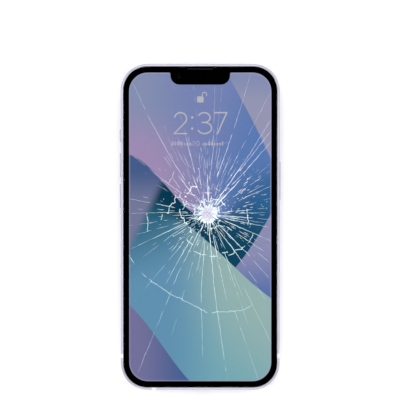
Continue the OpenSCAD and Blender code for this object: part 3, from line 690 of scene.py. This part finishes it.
def panel_loop(width):
    """The panel's outline, a little outside the lit area, with the notch cut in its top edge."""
    grow = (width - ACTIVE_W) / 2
    h, v, r = width / 2, ACTIVE_L / 2 + grow, ACTIVE_R + grow
    notch, depth = NOTCH_HALF - grow, NOTCH_DEPTH
    return fillet_loop([
        (h, v, r), (notch, v, 0.3), (notch, v - depth, 1.5), (-notch, v - depth, 1.5), (-notch, v, 0.3),
        (-h, v, r), (-h, -v, r), (h, -v, r),
    ], 14)


def ink_finish():
    s = Shader("border_ink", Roughness=1.0, Specular_IOR_Level=0.0)
    s.colour(s.mix(s.noise(s.place(), 2.0), (0.0002, 0.0002, 0.0003, 1), (0.0003, 0.0003, 0.0005, 1)))
    return s.material


def add_ink():
    """The black print under the glass, open over the picture, the earpiece and the camera."""
    bm = bmesh.new()
    outline = rounded_rect(GLASS_W - 0.04, GLASS_L - 0.04, GLASS_R)
    window = circle(1.0, (CAMERA_X, CAMERA_Y))
    foot = GLASS_UNDER + 0.004
    add_plate(bm, [outline, active_loop(), earpiece_loop(0.02), window], foot, foot + INK_T)
    add_object("border_ink", bm, ink_finish())


# The clock's figures and the other marks, as strokes through points in mm
CLOCK_Y, CLOCK_H = 41.75, 10.0
COLON_X, COLON_R = -3.6, 0.55
CLOCK_STROKE, LOCK_STROKE, DATE_STROKE = 0.62, 0.42, 0.3
DATE_Y, DATE_GAP = 36.7, 0.4


def arc(cx, cy, rx, ry, a0, a1, steps=22):
    """Points along part of an ellipse, from one angle to another."""
    return [
        Vector((
            cx + rx * math.cos(math.radians(a0 + (a1 - a0) * i / steps)),
            cy + ry * math.sin(math.radians(a0 + (a1 - a0) * i / steps)),
        ))
        for i in range(steps + 1)
    ]


def add_stroke(bm, points, width):
    """A flat line of even width along a path, with mitred corners."""
    left, right = [], []
    n = len(points)
    for i, p in enumerate(points):
        a = (p - points[i - 1]).normalized() if i else None
        b = (points[i + 1] - p).normalized() if i < n - 1 else None
        a, b = a or b, b or a
        side = Vector((-(a + b).y, (a + b).x)).normalized()
        reach = width / 2 / max(0.5, side.dot(Vector((-b.y, b.x))))
        left.append(p + side * reach)
        right.append(p - side * reach)
    add_plate(bm, [left + right[::-1]], GLYPH_Z, GLYPH_Z + GLYPH_T)


def figure_two(x, y, w, h):
    bowl = arc(x + w / 2, y + h * 0.97 - w * 0.46, w * 0.46, w * 0.46, 168, -32)
    return [bowl + [Vector((x + 0.1, y + 0.3)), Vector((x + w, y + 0.3))]]


def figure_three(x, y, w, h):
    waist = y + h * 0.53
    top = arc(x + w * 0.47, waist + h * 0.22, w * 0.4, h * 0.22, 158, -88)
    low = arc(x + w * 0.5, waist - h * 0.25, w * 0.47, h * 0.25, 88, -160)
    return [top + [Vector((x + w * 0.3, waist))], [Vector((x + w * 0.3, waist))] + low]


def figure_seven(x, y, w, h):
    return [[Vector((x, y + h - 0.3)), Vector((x + w, y + h - 0.3)), Vector((x + w * 0.25, y))]]


def figure_zero(x, y, w, h):
    return [arc(x + w / 2, y + h / 2, w / 2, h / 2, 90, 449)]


def add_clock(glow):
    """The time, as plain figures."""
    bm = bmesh.new()
    strokes = figure_two(-11.8, CLOCK_Y, 5.9, CLOCK_H)
    strokes += figure_three(-1.4, CLOCK_Y, 6.7, CLOCK_H)
    strokes += figure_seven(6.2, CLOCK_Y, 5.7, CLOCK_H)
    for points in strokes:
        add_stroke(bm, points, CLOCK_STROKE)
    for y in (44.3, 49.3):
        add_plate(bm, [circle(COLON_R, (COLON_X, y), 20)], GLYPH_Z, GLYPH_Z + GLYPH_T)
    add_object("clock_figures", bm, glow)


def add_padlock(glow):
    """An open padlock: a rounded body and a shackle that stands beside it."""
    bm = bmesh.new()
    add_plate(bm, [rounded_rect(3.0, 2.8, 0.6, (0.05, 57.4))], GLYPH_Z, GLYPH_Z + GLYPH_T)
    shackle = [Vector((0.95, 58.7))] + arc(1.9, 59.7, 0.95, 0.95, 180, 0) + [Vector((2.85, 58.9))]
    add_stroke(bm, shackle, LOCK_STROKE)
    add_object("padlock_mark", bm, glow)


def add_date(glow):
    """Rows of plain dashes where a line of small words stood, with the day's number between them."""
    rng = random.Random(5)
    bm = bmesh.new()
    for x0, dashes in ((-12.9, 7), (1.0, 8)):
        x = x0
        for _ in range(dashes):
            w, tall = rng.uniform(0.7, 1.1), rng.choice((1.2, 1.2, 1.8))
            middle = (x + w / 2, DATE_Y + tall / 2)
            add_plate(bm, [rounded_rect(w, tall, 0.3, middle, 5)], GLYPH_Z, GLYPH_Z + GLYPH_T)
            x += w + DATE_GAP
    day_y = DATE_Y - 0.1
    for points in figure_two(-3.6, day_y, 1.3, 2.0) + figure_zero(-1.7, day_y, 1.3, 2.0):
        add_stroke(bm, points, DATE_STROKE)
    add_object("date_line", bm, glow)


# The front camera's lens in its barrel: radius and level of each ring, from the foot to the crown
LENS_PROFILE = [
    (1.0, 6.5), (1.0, 6.7), (0.9, 6.72), (0.76, 6.66), (0.74, 6.74), (0.55, 6.8), (0.3, 6.84), (0.1, 6.86),
]


def front_lens_finish():
    """Dark coated glass in a matt barrel."""
    s = Shader("front_lens", Coat_Weight=0.1, Coat_Roughness=0.02, Specular_IOR_Level=0.15)
    x, y, _ = s.split(s.place())
    away = s.distance(s.math("SUBTRACT", x, CAMERA_X), s.math("SUBTRACT", y, CAMERA_Y))
    s.colour(s.mix(s.step(away, 0.7, 0.8), (0.001, 0.001, 0.003, 1), (0.006, 0.006, 0.008, 1)))
    s.rough(s.step(away, 0.7, 0.9, 0.1, 0.7))
    return s.material


def add_front_camera():
    """The front camera's lens behind its window in the print."""
    bm = bmesh.new()
    rings = [loop_verts(bm, circle(r, (CAMERA_X, CAMERA_Y), 40), z) for r, z in LENS_PROFILE]
    for a, b in zip(rings, rings[1:]):
        bridge(bm, a, b, smooth=True)
    cap(bm, [rings[0]])
    cap(bm, [rings[-1]])
    add_object("front_lens", bm, front_lens_finish())


# ---- The shattered glass ----

# Cracks that run outwards: width where each starts and ends, how broken up it is from 0 to 1,
# and the (angle, radius) points that it passes, from where the screen was struck
OUTWARD = [
    (0.36, 0.12, 0.3, [(5.8, 6), (5.8, 28)]),
    (0.2, 0.12, 0.6, [(12.5, 15), (14, 29)]),
    (0.2, 0.14, 0.6, [(23.5, 15), (24, 31)]),
    (0.16, 0.14, 0.6, [(27.5, 20), (27.5, 32)]),
    (0.16, 0.12, 0.6, [(31.5, 27), (31.5, 33)]),
    (0.2, 0.14, 0.6, [(34, 15), (34.7, 34)]),
    (0.16, 0.12, 0.6, [(37.5, 24), (39, 36)]),
    (0.18, 0.12, 0.6, [(40, 21), (41.5, 36)]),
    (0.18, 0.12, 0.6, [(42, 22), (43.5, 32)]),
    (0.42, 0.22, 0.1, [(45.5, 5), (46.5, 24), (48.8, 24.5), (48.8, 43)]),
    (0.32, 0.22, 0.1, [(52, 14.5), (49.5, 20), (49, 24)]),
    (0.28, 0.2, 0.1, [(55.2, 23.2), (53.5, 24.5), (52.8, 47)]),
    (0.42, 0.16, 0.1, [(55, 5), (55, 33), (56.3, 51)]),
    (0.2, 0.1, 0.2, [(62.8, 22), (62.8, 44), (62.8, 61)]),
    (0.2, 0.12, 0.5, [(70, 19), (69.3, 25)]),
    (0.34, 0.12, 0.1, [(76.2, 17), (73.5, 30), (72.8, 50), (73, 66)]),
    (0.34, 0.14, 0.3, [(77, 5), (79.5, 25), (79.8, 33)]),
    (0.38, 0.16, 0.2, [(88, 5), (88, 14), (86, 22), (84.5, 34)]),
    (0.3, 0.12, 0.1, [(85.6, 32), (85.8, 36)]),
    (0.16, 0.12, 0.1, [(85.8, 36), (86.8, 58)]),
    (0.12, 0.1, 0.2, [(83.5, 33), (83.5, 58)]),
    (0.26, 0.14, 0.3, [(90.5, 8), (90.5, 28)]),
    (0.36, 0.2, 0.2, [(103, 8), (103, 15), (101, 21)]),
    (0.2, 0.12, 0.5, [(95.5, 24), (95, 27)]),
    (0.22, 0.12, 0.4, [(99, 21), (98, 28)]),
    (0.1, 0.08, 0.3, [(96.5, 40), (96.5, 58)]),
    (0.36, 0.16, 0.2, [(107.5, 19), (106, 33), (105.5, 40)]),
    (0.09, 0.06, 0.3, [(105.5, 40), (105.3, 60), (105.9, 65)]),
    (0.24, 0.14, 0.3, [(111.5, 12), (111.5, 18)]),
    (0.32, 0.14, 0.05, [(124, 18), (123.3, 30), (121.5, 50), (119.6, 70)]),
    (0.3, 0.16, 0.2, [(127.5, 12), (127.8, 32)]),
    (0.16, 0.1, 0.4, [(121, 20), (119.5, 28)]),
    (0.12, 0.1, 0.4, [(118.3, 33), (117.5, 38), (116, 45)]),
    (0.22, 0.16, 0.1, [(137, 17), (134, 23)]),
    (0.22, 0.14, 0.2, [(141.5, 15), (142.8, 28), (142, 43)]),
    (0.14, 0.1, 0.4, [(150.5, 17), (150, 28)]),
    (0.24, 0.18, 0.1, [(169, 15), (169, 36)]),
    (0.16, 0.12, 0.4, [(174.5, 15), (174.5, 23)]),
    (0.2, 0.12, 0.1, [(177, 15), (179.5, 36)]),
    (0.14, 0.1, 0.2, [(188.5, 18), (188.5, 36)]),
    (0.16, 0.12, 0.2, [(197, 12), (196, 37)]),
    (0.28, 0.16, 0.05, [(200, 8), (203.5, 20), (204.5, 39)]),
    (0.2, 0.1, 0.2, [(206, 9), (210, 17), (213, 30), (214, 43)]),
    (0.18, 0.12, 0.5, [(222.5, 14), (222.5, 25)]),
    (0.18, 0.1, 0.3, [(229.5, 12), (230, 52)]),
    (0.26, 0.2, 0.1, [(235, 12), (238, 26), (239.3, 39)]),
    (0.26, 0.14, 0.1, [(243, 8), (243.5, 30), (244.8, 40), (246.2, 78)]),
    (0.18, 0.14, 0.2, [(252, 18), (253.2, 42)]),
    (0.1, 0.08, 0.2, [(253.4, 48), (253.4, 58)]),
    (0.26, 0.2, 0.4, [(256, 23), (256, 30)]),
    (0.22, 0.14, 0.5, [(259.5, 16), (259.5, 28)]),
    (0.3, 0.18, 0.1, [(264, 14), (265, 35), (266.5, 45), (268, 64)]),
    (0.38, 0.2, 0.1, [(275.5, 8), (275, 35), (276.7, 75)]),
    (0.34, 0.18, 0.1, [(284, 10), (282.5, 25), (282.3, 44)]),
    (0.2, 0.16, 0.1, [(285.5, 45), (287, 78)]),
    (0.3, 0.16, 0.3, [(291.5, 24), (290, 53)]),
    (0.28, 0.18, 0.3, [(293.5, 13), (293, 40)]),
    (0.2, 0.16, 0.1, [(296.2, 37), (296.2, 65)]),
    (0.34, 0.2, 0.2, [(303, 9), (306, 18), (305.5, 38)]),
    (0.2, 0.14, 0.2, [(304, 38), (304, 48)]),
    (0.32, 0.16, 0.1, [(315, 8), (315, 25), (313.8, 40)]),
    (0.26, 0.18, 0.3, [(323.5, 16), (322, 35)]),
    (0.32, 0.16, 0.2, [(326, 10), (326.5, 30)]),
    (0.2, 0.12, 0.4, [(331.5, 16), (331.5, 32)]),
    (0.3, 0.16, 0.1, [(338.5, 8), (337, 31)]),
    (0.26, 0.16, 0.1, [(345, 8), (347.5, 22), (348, 28)]),
    (0.3, 0.16, 0.1, [(354, 6), (355, 28)]),
    (0.2, 0.12, 0.2, [(350, 9), (351, 26)]),
    (0.2, 0.12, 0.3, [(1, 7), (1.5, 26)]),
]

# Cracks that run round, from one outward crack to the next: width, how broken up, and the points
ROUND = [
    (0.7, 0.0, [(116, 6.2), (124, 5.8), (136, 5.0), (146, 5.2)]),
    (0.6, 0.0, [(160, 6.4), (170, 5.8), (180, 6.3), (190, 5.6)]),
    (0.6, 0.0, [(6, 5.2), (16, 5.0), (26, 5.3), (34, 5.9)]),
    (0.5, 0.0, [(66, 6.6), (76, 5.8), (92, 5.7), (98, 6.3)]),
    (0.6, 0.0, [(-52, 6.4), (-62, 6.9), (-74, 6.6)]),
    (0.5, 0.0, [(-30, 6.0), (-40, 6.3), (-46, 7.4)]),
    (0.5, 0.1, [(-36, 9.2), (-44, 7.8), (-55, 6.6)]),
    (0.34, 0.1, [(-97, 8.4), (-88, 8.6), (-80, 8.9)]),
    (0.4, 0.1, [(132, 12.9), (129, 10.8), (121, 10.2)]),
    (0.4, 0.1, [(148, 14.6), (158, 11.3), (150, 9.6)]),
    (0.4, 0.1, [(80, 9.6), (90, 9.2), (98, 9.8)]),
    (0.36, 0.1, [(60, 12.4), (67, 11.6), (73, 12.2)]),
    (0.3, 0.1, [(46, 15), (52, 14.5), (57, 10)]),
    (0.26, 0.1, [(46, 23.7), (49, 24.7)]),
    (0.3, 0.1, [(53, 24.5), (55.3, 23.2)]),
    (0.12, 0.4, [(74, 33.3), (83, 32), (90, 31)]),
    (0.5, 0.2, [(3, 5.6), (14, 5.4), (35, 5.8)]),
    (0.6, 0.1, [(24, 8.6), (36, 8.3), (48, 8.6)]),
    (0.5, 0.1, [(55, 8), (68, 7.2), (80, 6.9)]),
    (0.4, 0.2, [(5, 9), (9, 10.2), (13, 11)]),
    (0.24, 0.2, [(123.3, 27.3), (127.8, 27.3)]),
    (0.32, 0.2, [(127.8, 24.5), (134, 22.8), (142, 22.5)]),
    (0.62, 0.3, [(103, 12), (112, 13.5), (120, 14.2), (131, 13), (138, 14), (143, 12)]),
    (0.46, 0.4, [(141, 15.2), (150, 15), (153, 16.5)]),
    (0.46, 0.4, [(150, 16.8), (160, 16), (168, 17.5), (178, 17.8)]),
    (0.4, 0.2, [(150, 11), (160, 11), (170, 11.5)]),
    (0.46, 0.2, [(171, 12.7), (180, 12.3), (188, 12), (190, 11.2), (200, 11), (208, 10.5), (222, 10),
                 (226, 11.5), (231, 11)]),
    (0.4, 0.2, [(180, 20.4), (188, 21.3)]),
    (0.4, 0.2, [(180, 27.5), (188, 27.3), (196, 28)]),
    (0.56, 0.2, [(230, 14.5), (236, 15.2), (245, 15)]),
    (0.5, 0.2, [(242, 18.5), (250, 18), (260, 18.2), (270, 18.5), (274, 19), (283, 19.3), (289, 18.5),
                 (296, 19.2)]),
    (0.44, 0.2, [(297, 20.7), (304, 21.2), (307, 20.3), (314, 21.7), (322, 22.3), (328, 22.2),
                 (338, 22.5)]),
    (0.4, 0.3, [(338, 19.8), (345, 19.6)]),
    (0.44, 0.3, [(345, 18.7), (352, 18.7), (355, 18), (366, 17.7)]),
    (0.3, 0.2, [(206, 40), (214.5, 40.2)]),
    (0.34, 0.06, [(222, 39.8), (229, 39.5), (235, 39), (245, 39.8), (253, 40), (256, 40.8), (263, 42),
                  (266, 43), (270, 44.5), (283, 45), (290, 46), (296, 45.5)]),
]

# Foot and height of the raised slivers that show the cracks, and how far past the lit area they run
SLIVER_BASE = GLASS_TOP - 0.02
SLIVER_HEIGHT = 0.04
OVERRUN = 0.1

# What cracks' widths are multiplied by, up to NEAR_R and from FAR_R on, and what round ones' are
NEAR_R, FAR_R = 9.0, 26.0
NEAR_FINENESS, FAR_FINENESS = 1.04, 0.66
ROUND_FINENESS = 0.62

# The haze of splinters: how many, where they start, their length and width, and any sector and lean
SPLINTERS = [
    (40, (3.4, 5.0), (2.0, 5.5), (0.16, 0.32)),
    (40, (4.5, 12), (2, 8), (0.13, 0.24)),
    (48, (8, 21), (0.6, 3.2), (0.12, 0.24)),
    (40, (18, 33), (0.5, 3), (0.08, 0.14)),
    (34, (12, 28), (0.5, 2.6), (0.14, 0.26), (0, 42)),
    (70, (10, 32), (2, 7), (0.06, 0.12), (58, 128), 0.2),
]
FINE_CHIPS, COARSE_CHIPS = 160, 46

# The crushed middle: its radius, the rings and spokes of its sheet, its spikes, and the grains on it
CORE_R = 4.5
CORE_RINGS, CORE_SPOKES = 22, 270
CORE_SPIKES, CORE_GRAINS = 34, 420

# Clefts that run into the crushed middle: angle, and how far in from its edge
CLEFTS = [
    (134, 1.5), (122, 0.9), (169, 1.2), (188, 1.0), (17, 1.3), (30, 0.9), (73, 1.2), (90, 1.3),
    (-38, 1.2), (-60, 0.9), (-82, 1.6), (-101, 1.2), (-128, 1.0), (150, 1.0), (-8, 1.0), (215, 1.2),
]


def on_screen(p):
    """True where the lit area, and not the notch or the black border, is under a point."""
    h, v = ACTIVE_W / 2 + OVERRUN, ACTIVE_L / 2 + OVERRUN
    x, y = abs(p.x), abs(p.y)
    if x > h or y > v:
        return False
    if p.y > v - NOTCH_DEPTH and x < NOTCH_HALF - OVERRUN:
        return False
    r = ACTIVE_R
    dx, dy = x - (h - r), y - (v - r)
    return dx < 0 or dy < 0 or dx * dx + dy * dy < r * r


def last_on_screen(inside, outside):
    """Where a line that leaves the lit area crosses its edge."""
    for _ in range(8):
        middle = (inside + outside) / 2
        if on_screen(middle):
            inside = middle
        else:
            outside = middle
    return inside


def walk(rng, points, step=1.1, stray=0.07):
    """Points about a step apart along a path through (angle, radius) points, each a little astray."""
    marks = [polar(a, r) for a, r in points]
    out = [marks[0]]
    for a, b in zip(marks, marks[1:]):
        n = max(1, round((b - a).length / step))
        for i in range(1, n + 1):
            p = a.lerp(b, i / n)
            out.append(p + Vector((rng.gauss(0, stray), rng.gauss(0, stray))))
    return out


def fineness(p):
    """What a crack's width is multiplied by: open near the struck place and a hairline away from it."""
    away = min(1, max(0, ((p - IMPACT).length - NEAR_R) / (FAR_R - NEAR_R)))
    return NEAR_FINENESS + (FAR_FINENESS - NEAR_FINENESS) * away


def add_crack(rng, bm, points, start_w, end_w, broken, near_open=True):
    """A crack as one sliver or a row of them, of uneven width, with gaps where it is broken."""
    run, widths = [], []
    n = len(points)
    for i, p in enumerate(points):
        w = start_w + (end_w - start_w) * i / max(1, n - 1)
        w *= fineness(p) if near_open else ROUND_FINENESS
        gap = rng.random() < broken * 0.4
        ends = i == n - 1
        if run and not on_screen(p):
            p, ends = last_on_screen(run[-1], p), True
        if not gap and on_screen(p):
            run.append(p)
            widths.append(w * rng.uniform(0.55, 1.4))
        if gap or ends:
            if len(run) > 1:
                widths[0] *= 0.35
                widths[-1] *= 0.35
                add_sliver(bm, run, widths, SLIVER_BASE, SLIVER_HEIGHT)
            run, widths = [], []


def add_streaks(rng, bm, count, starts, lengths, widths, sector=(0, 360), jitter=0.4):
    """Short straight slivers that point away from where the screen was struck."""
    for _ in range(count):
        angle = rng.uniform(*sector)
        r0 = rng.uniform(*starts)
        r1 = r0 + rng.uniform(*lengths)
        w = rng.uniform(*widths)
        middle = (r0 + r1) / 2
        lean = rng.gauss(0, jitter)
        points = [polar(angle, r0), polar(angle + lean, middle), polar(angle + lean * 0.6, r1)]
        if all(on_screen(p) for p in points):
            add_sliver(bm, points, [w * 0.4, w, w * 0.25], SLIVER_BASE, SLIVER_HEIGHT)


def add_chip(rng, bm, centre, size, top):
    """A small flake of glass: a few uneven sides, a flat foot and a point off its middle."""
    n = rng.randint(3, 6)
    turn = rng.uniform(0, 360)
    foot = []
    for i in range(n):
        a = math.radians(turn + 360 * i / n + rng.uniform(-18, 18))
        reach = size * rng.uniform(0.55, 1.0)
        foot.append(bm.verts.new((
            centre.x + reach * math.cos(a), centre.y + reach * math.sin(a), top - 0.05 - size * 0.1
        )))
    peak = bm.verts.new((
        centre.x + size * rng.uniform(-0.3, 0.3), centre.y + size * rng.uniform(-0.3, 0.3), top
    ))
    for i in range(n):
        bm.faces.new((foot[i], foot[(i + 1) % n], peak))
    bm.faces.new(foot[::-1])


def broken_glass_finish():
    """Fresh fracture faces: white with a faint painted glow, a painted cyan tint of the screen's light low
    down, and painted light and shade from facet to facet; darker in the crushed middle, partly from painted
    shade among its grains, and duller far from it.
    """
    # Painted glow: a faint bluish white emission that keeps the cracks bright, though they are no lamp
    glow = dict(Emission_Color=(0.92, 0.92, 1.0, 1), Emission_Strength=0.06)
    s = Shader("fracture_white_painted_glow", Specular_IOR_Level=0.6, **glow)
    at = s.place()
    # Painted light and shade: each facet gets its own lighter or darker colour, as if lit at its own angle
    facet_light_and_shade = s.cells(at, 2.5)["Color"]
    shade = s.split(facet_light_and_shade)[0]
    x, y, _ = s.split(at)
    dx, dy = s.math("SUBTRACT", x, IMPACT.x), s.math("SUBTRACT", y, IMPACT.y)
    away = s.distance(dx, dy)
    spoke = s.join(s.math("DIVIDE", dx, away), s.math("DIVIDE", dy, away), s.math("MULTIPLY", away, 0.05))
    rays = s.step(s.noise(spoke, 7.0, 2.0), 0.35, 0.62)
    # Painted light: low on the screen the fracture faces turn cyan, standing in for the teal screen's light
    # coming up through them
    painted_screen_tint = s.step(y, 18, 6)
    bright_low = s.mix(painted_screen_tint, (0.72, 0.72, 0.79, 1), (0.58, 0.78, 0.82, 1))
    bright = s.mix(shade, bright_low, s.mix(painted_screen_tint, (0.9, 0.9, 0.94, 1), (0.8, 0.93, 0.95, 1)))
    # The crushed middle is darker and mottled: partly its own greyer tone and partly painted shade among its
    # grains
    crushed = s.mix(shade, (0.42, 0.39, 0.49, 1), (0.66, 0.63, 0.73, 1))
    hair_low = s.mix(painted_screen_tint, (0.62, 0.62, 0.78, 1), (0.46, 0.68, 0.73, 1))
    hairline = s.mix(shade, hair_low, s.mix(painted_screen_tint, (0.82, 0.82, 0.9, 1), (0.66, 0.85, 0.88, 1)))
    crushed_r = s.math("MULTIPLY_ADD", rays, -2.4, 5.0)
    field = s.mix(s.step(s.math("SUBTRACT", away, crushed_r), -1.6, 0.8), crushed, bright)
    s.colour(s.mix(s.step(away, 16, 34), field, hairline))
    s.rough(s.step(shade, 0.0, 1.0, 0.25, 0.65))
    s.bump(s.noise(at, 6.0, 3.0), 0.2, 0.00003)
    return s.material


def add_cracks(white):
    """The long cracks, outward and round."""
    rng = random.Random(11)
    bm = bmesh.new()
    for start_w, end_w, broken, points in OUTWARD:
        path = walk(rng, points)
        add_crack(rng, bm, path, start_w, end_w, broken)
    for width, broken, points in ROUND:
        path = walk(rng, points, 0.7, 0.16)
        add_crack(rng, bm, path, width, width, broken, near_open=False)
        for p in path[::2]:
            if on_screen(p) and rng.random() < 0.55:
                add_chip(rng, bm, p, width * rng.uniform(0.5, 1.3), GLASS_TOP + 0.04)
    add_object("long_cracks", bm, white)


def add_splinters(white):
    """The haze of short splinters round the struck place."""
    rng = random.Random(23)
    bm = bmesh.new()
    for row in SPLINTERS:
        add_streaks(rng, bm, *row)
    for _ in range(FINE_CHIPS):
        p = polar(rng.uniform(0, 360), 4 + abs(rng.gauss(0, 8)))
        if on_screen(p):
            add_chip(rng, bm, p, rng.uniform(0.06, 0.22), GLASS_TOP + 0.03)
    for _ in range(COARSE_CHIPS):
        p = polar(rng.uniform(0, 360), rng.uniform(5.5, 21))
        add_chip(rng, bm, p, rng.uniform(0.22, 0.42), GLASS_TOP + 0.04)
    add_object("splinters", bm, white)


def core_reach(rng, spokes):
    """How far the crushed middle reaches along each spoke: a ragged disc with narrow spikes and clefts."""
    reach = []
    for i in range(spokes):
        a = math.tau * i / spokes
        uneven = noise.noise(Vector((math.cos(a) * 2.3, math.sin(a) * 2.3, 0.5)))
        reach.append(CORE_R * (0.86 + 0.3 * uneven))
    for angle, depth in CLEFTS:
        tip, half = round(angle / 360 * spokes), rng.randint(4, 7)
        for i in range(-half, half + 1):
            reach[(tip + i) % spokes] -= depth * (1 - abs(i) / half)
    for _ in range(CORE_SPIKES):
        tip, half, height = rng.randrange(spokes), rng.randint(2, 4), rng.uniform(0.3, 2.4)
        for i in range(-half, half + 1):
            k = (tip + i) % spokes
            reach[k] = max(reach[k], CORE_R * 0.86 + height * (1 - abs(i) / half))
    return [max(CORE_R * 0.4, r) for r in reach]


def core_height(p, fraction):
    """How high the crushed glass stands over the pit at a point, by how far out along its spoke that is."""
    coarse = noise.noise(Vector((p.x * 2.6, p.y * 2.6, 1.0)))
    fine = noise.noise(Vector((p.x * 6.5, p.y * 6.5, 2.0)))
    return max(0.015, (0.15 + 0.14 * coarse + 0.1 * fine) * (1 - 0.8 * fraction ** 3))


def add_crushed_core(white):
    """Glass crushed to grains in the pit: a rough sheet with a ragged edge, and grains on it."""
    rng = random.Random(31)
    bm = bmesh.new()
    reach = core_reach(rng, CORE_SPOKES)
    tops, feet = [], []
    for j in range(1, CORE_RINGS + 1):
        top, foot = [], []
        for i in range(CORE_SPOKES):
            r = reach[i] * j / CORE_RINGS
            p = polar(360 * i / CORE_SPOKES, r)
            floor = pit_level(r) + 0.008
            top.append(bm.verts.new((p.x, p.y, floor + core_height(p, j / CORE_RINGS))))
            foot.append(bm.verts.new((p.x, p.y, floor)))
        tops.append(top)
        feet.append(foot)
    for rows in (tops, feet):
        cap(bm, [rows[0]])
        for a, b in zip(rows, rows[1:]):
            bridge(bm, a, b)
    bridge(bm, tops[-1], feet[-1])
    for _ in range(CORE_GRAINS):
        r = min(7.5, abs(rng.gauss(0, 3.6)))
        p = polar(rng.uniform(0, 360), r)
        add_chip(rng, bm, p, rng.uniform(0.06, 0.24), pit_level(r) + rng.uniform(0.1, 0.24))
    add_object("crushed_core", bm, white)


# ---- Stage, light and camera ----

# How wide each square light is in metres, and the lights: name, power and place
LIGHT_SIZE = 0.9
LIGHTS = [
    ("left_light", 6.9, (-0.9, 0.1, 0.95)),
    ("right_light", 6.4, (0.9, 0.1, 0.95)),
    ("near_light", 6.4, (0.05, -0.95, 0.9)),
    ("far_light", 6.4, (-0.05, 0.95, 0.9)),
]


def add_stage():
    """A plain pale floor."""
    bm = bmesh.new()
    bmesh.ops.create_grid(bm, x_segments=1, y_segments=1, size=4)
    s = Shader("pale_floor", Base_Color=(0.96, 0.96, 0.96, 1), Roughness=0.9, Specular_IOR_Level=0.1)
    link_object("floor", bm, s.material)


def add_world():
    """An even pale studio, with a dark flag straight overhead so that black glass stays black."""
    world = bpy.data.worlds.new("studio")
    bpy.context.scene.world = world
    world.use_nodes = True
    tree = world.node_tree
    background = tree.nodes["Background"]
    coords = tree.nodes.new("ShaderNodeTexCoord")
    parts = tree.nodes.new("ShaderNodeSeparateXYZ")
    ramp = tree.nodes.new("ShaderNodeMapRange")
    ramp.interpolation_type = "SMOOTHSTEP"
    flag_edge, flag_core = math.cos(math.radians(18)), math.cos(math.radians(11))
    sky_strength, flag_strength = 0.5, 0.0
    for key, value in zip(RANGE_KEYS, (flag_edge, flag_core, sky_strength, flag_strength)):
        ramp.inputs[key].default_value = value
    tree.links.new(coords.outputs["Generated"], parts.inputs[0])
    tree.links.new(parts.outputs[2], ramp.inputs["Value"])
    tree.links.new(ramp.outputs[0], background.inputs["Strength"])
    background.inputs["Color"].default_value = (0.94, 0.95, 0.97, 1)


def add_light(name, energy, position):
    """A soft square light that faces the phone."""
    data = bpy.data.lights.new(name, "AREA")
    data.shape = "SQUARE"
    data.size = LIGHT_SIZE
    data.energy = energy
    light = bpy.data.objects.new(name, data)
    light.location = position
    light.rotation_mode = "QUATERNION"
    light.rotation_quaternion = (-Vector(position)).to_track_quat("-Z", "Y")
    bpy.context.scene.collection.objects.link(light)


def add_camera():
    """Straight above, as the photograph was taken, with the phone a little below the middle."""
    view_w, lens, sensor = 0.1798, 150, 36
    above_middle, left_of_middle = 0.01214, 0.0001
    low, high = CAD_BOX
    data = bpy.data.cameras.new("camera")
    data.lens = lens
    data.sensor_width = sensor
    data.clip_start = 0.01
    camera = bpy.data.objects.new("camera", data)
    screen_z = (PHONE @ Vector((0, 0, GLASS_TOP * MM))).z
    camera.location = (
        (low.x + high.x) / 2 - left_of_middle,
        (low.y + high.y) / 2 + above_middle,
        screen_z + view_w * lens / sensor,
    )
    bpy.context.scene.collection.objects.link(camera)
    bpy.context.scene.camera = camera


def main():
    add_camera()
    add_world()
    for light in LIGHTS:
        add_light(*light)
    add_stage()
    bpy.context.scene.view_settings.view_transform = "Standard"
    finish = finishes()
    dress_nodes(finish)
    add_cover_glass(finish["cover_glass"])
    add_screen()
    add_ink()
    add_front_camera()
    marks = glow_finish("clock_glow", srgb(184, 182, 190))
    add_clock(marks)
    add_padlock(marks)
    add_date(glow_finish("date_glow", srgb(170, 166, 190)))
    white = broken_glass_finish()
    add_cracks(white)
    add_splinters(white)
    add_crushed_core(white)


main()
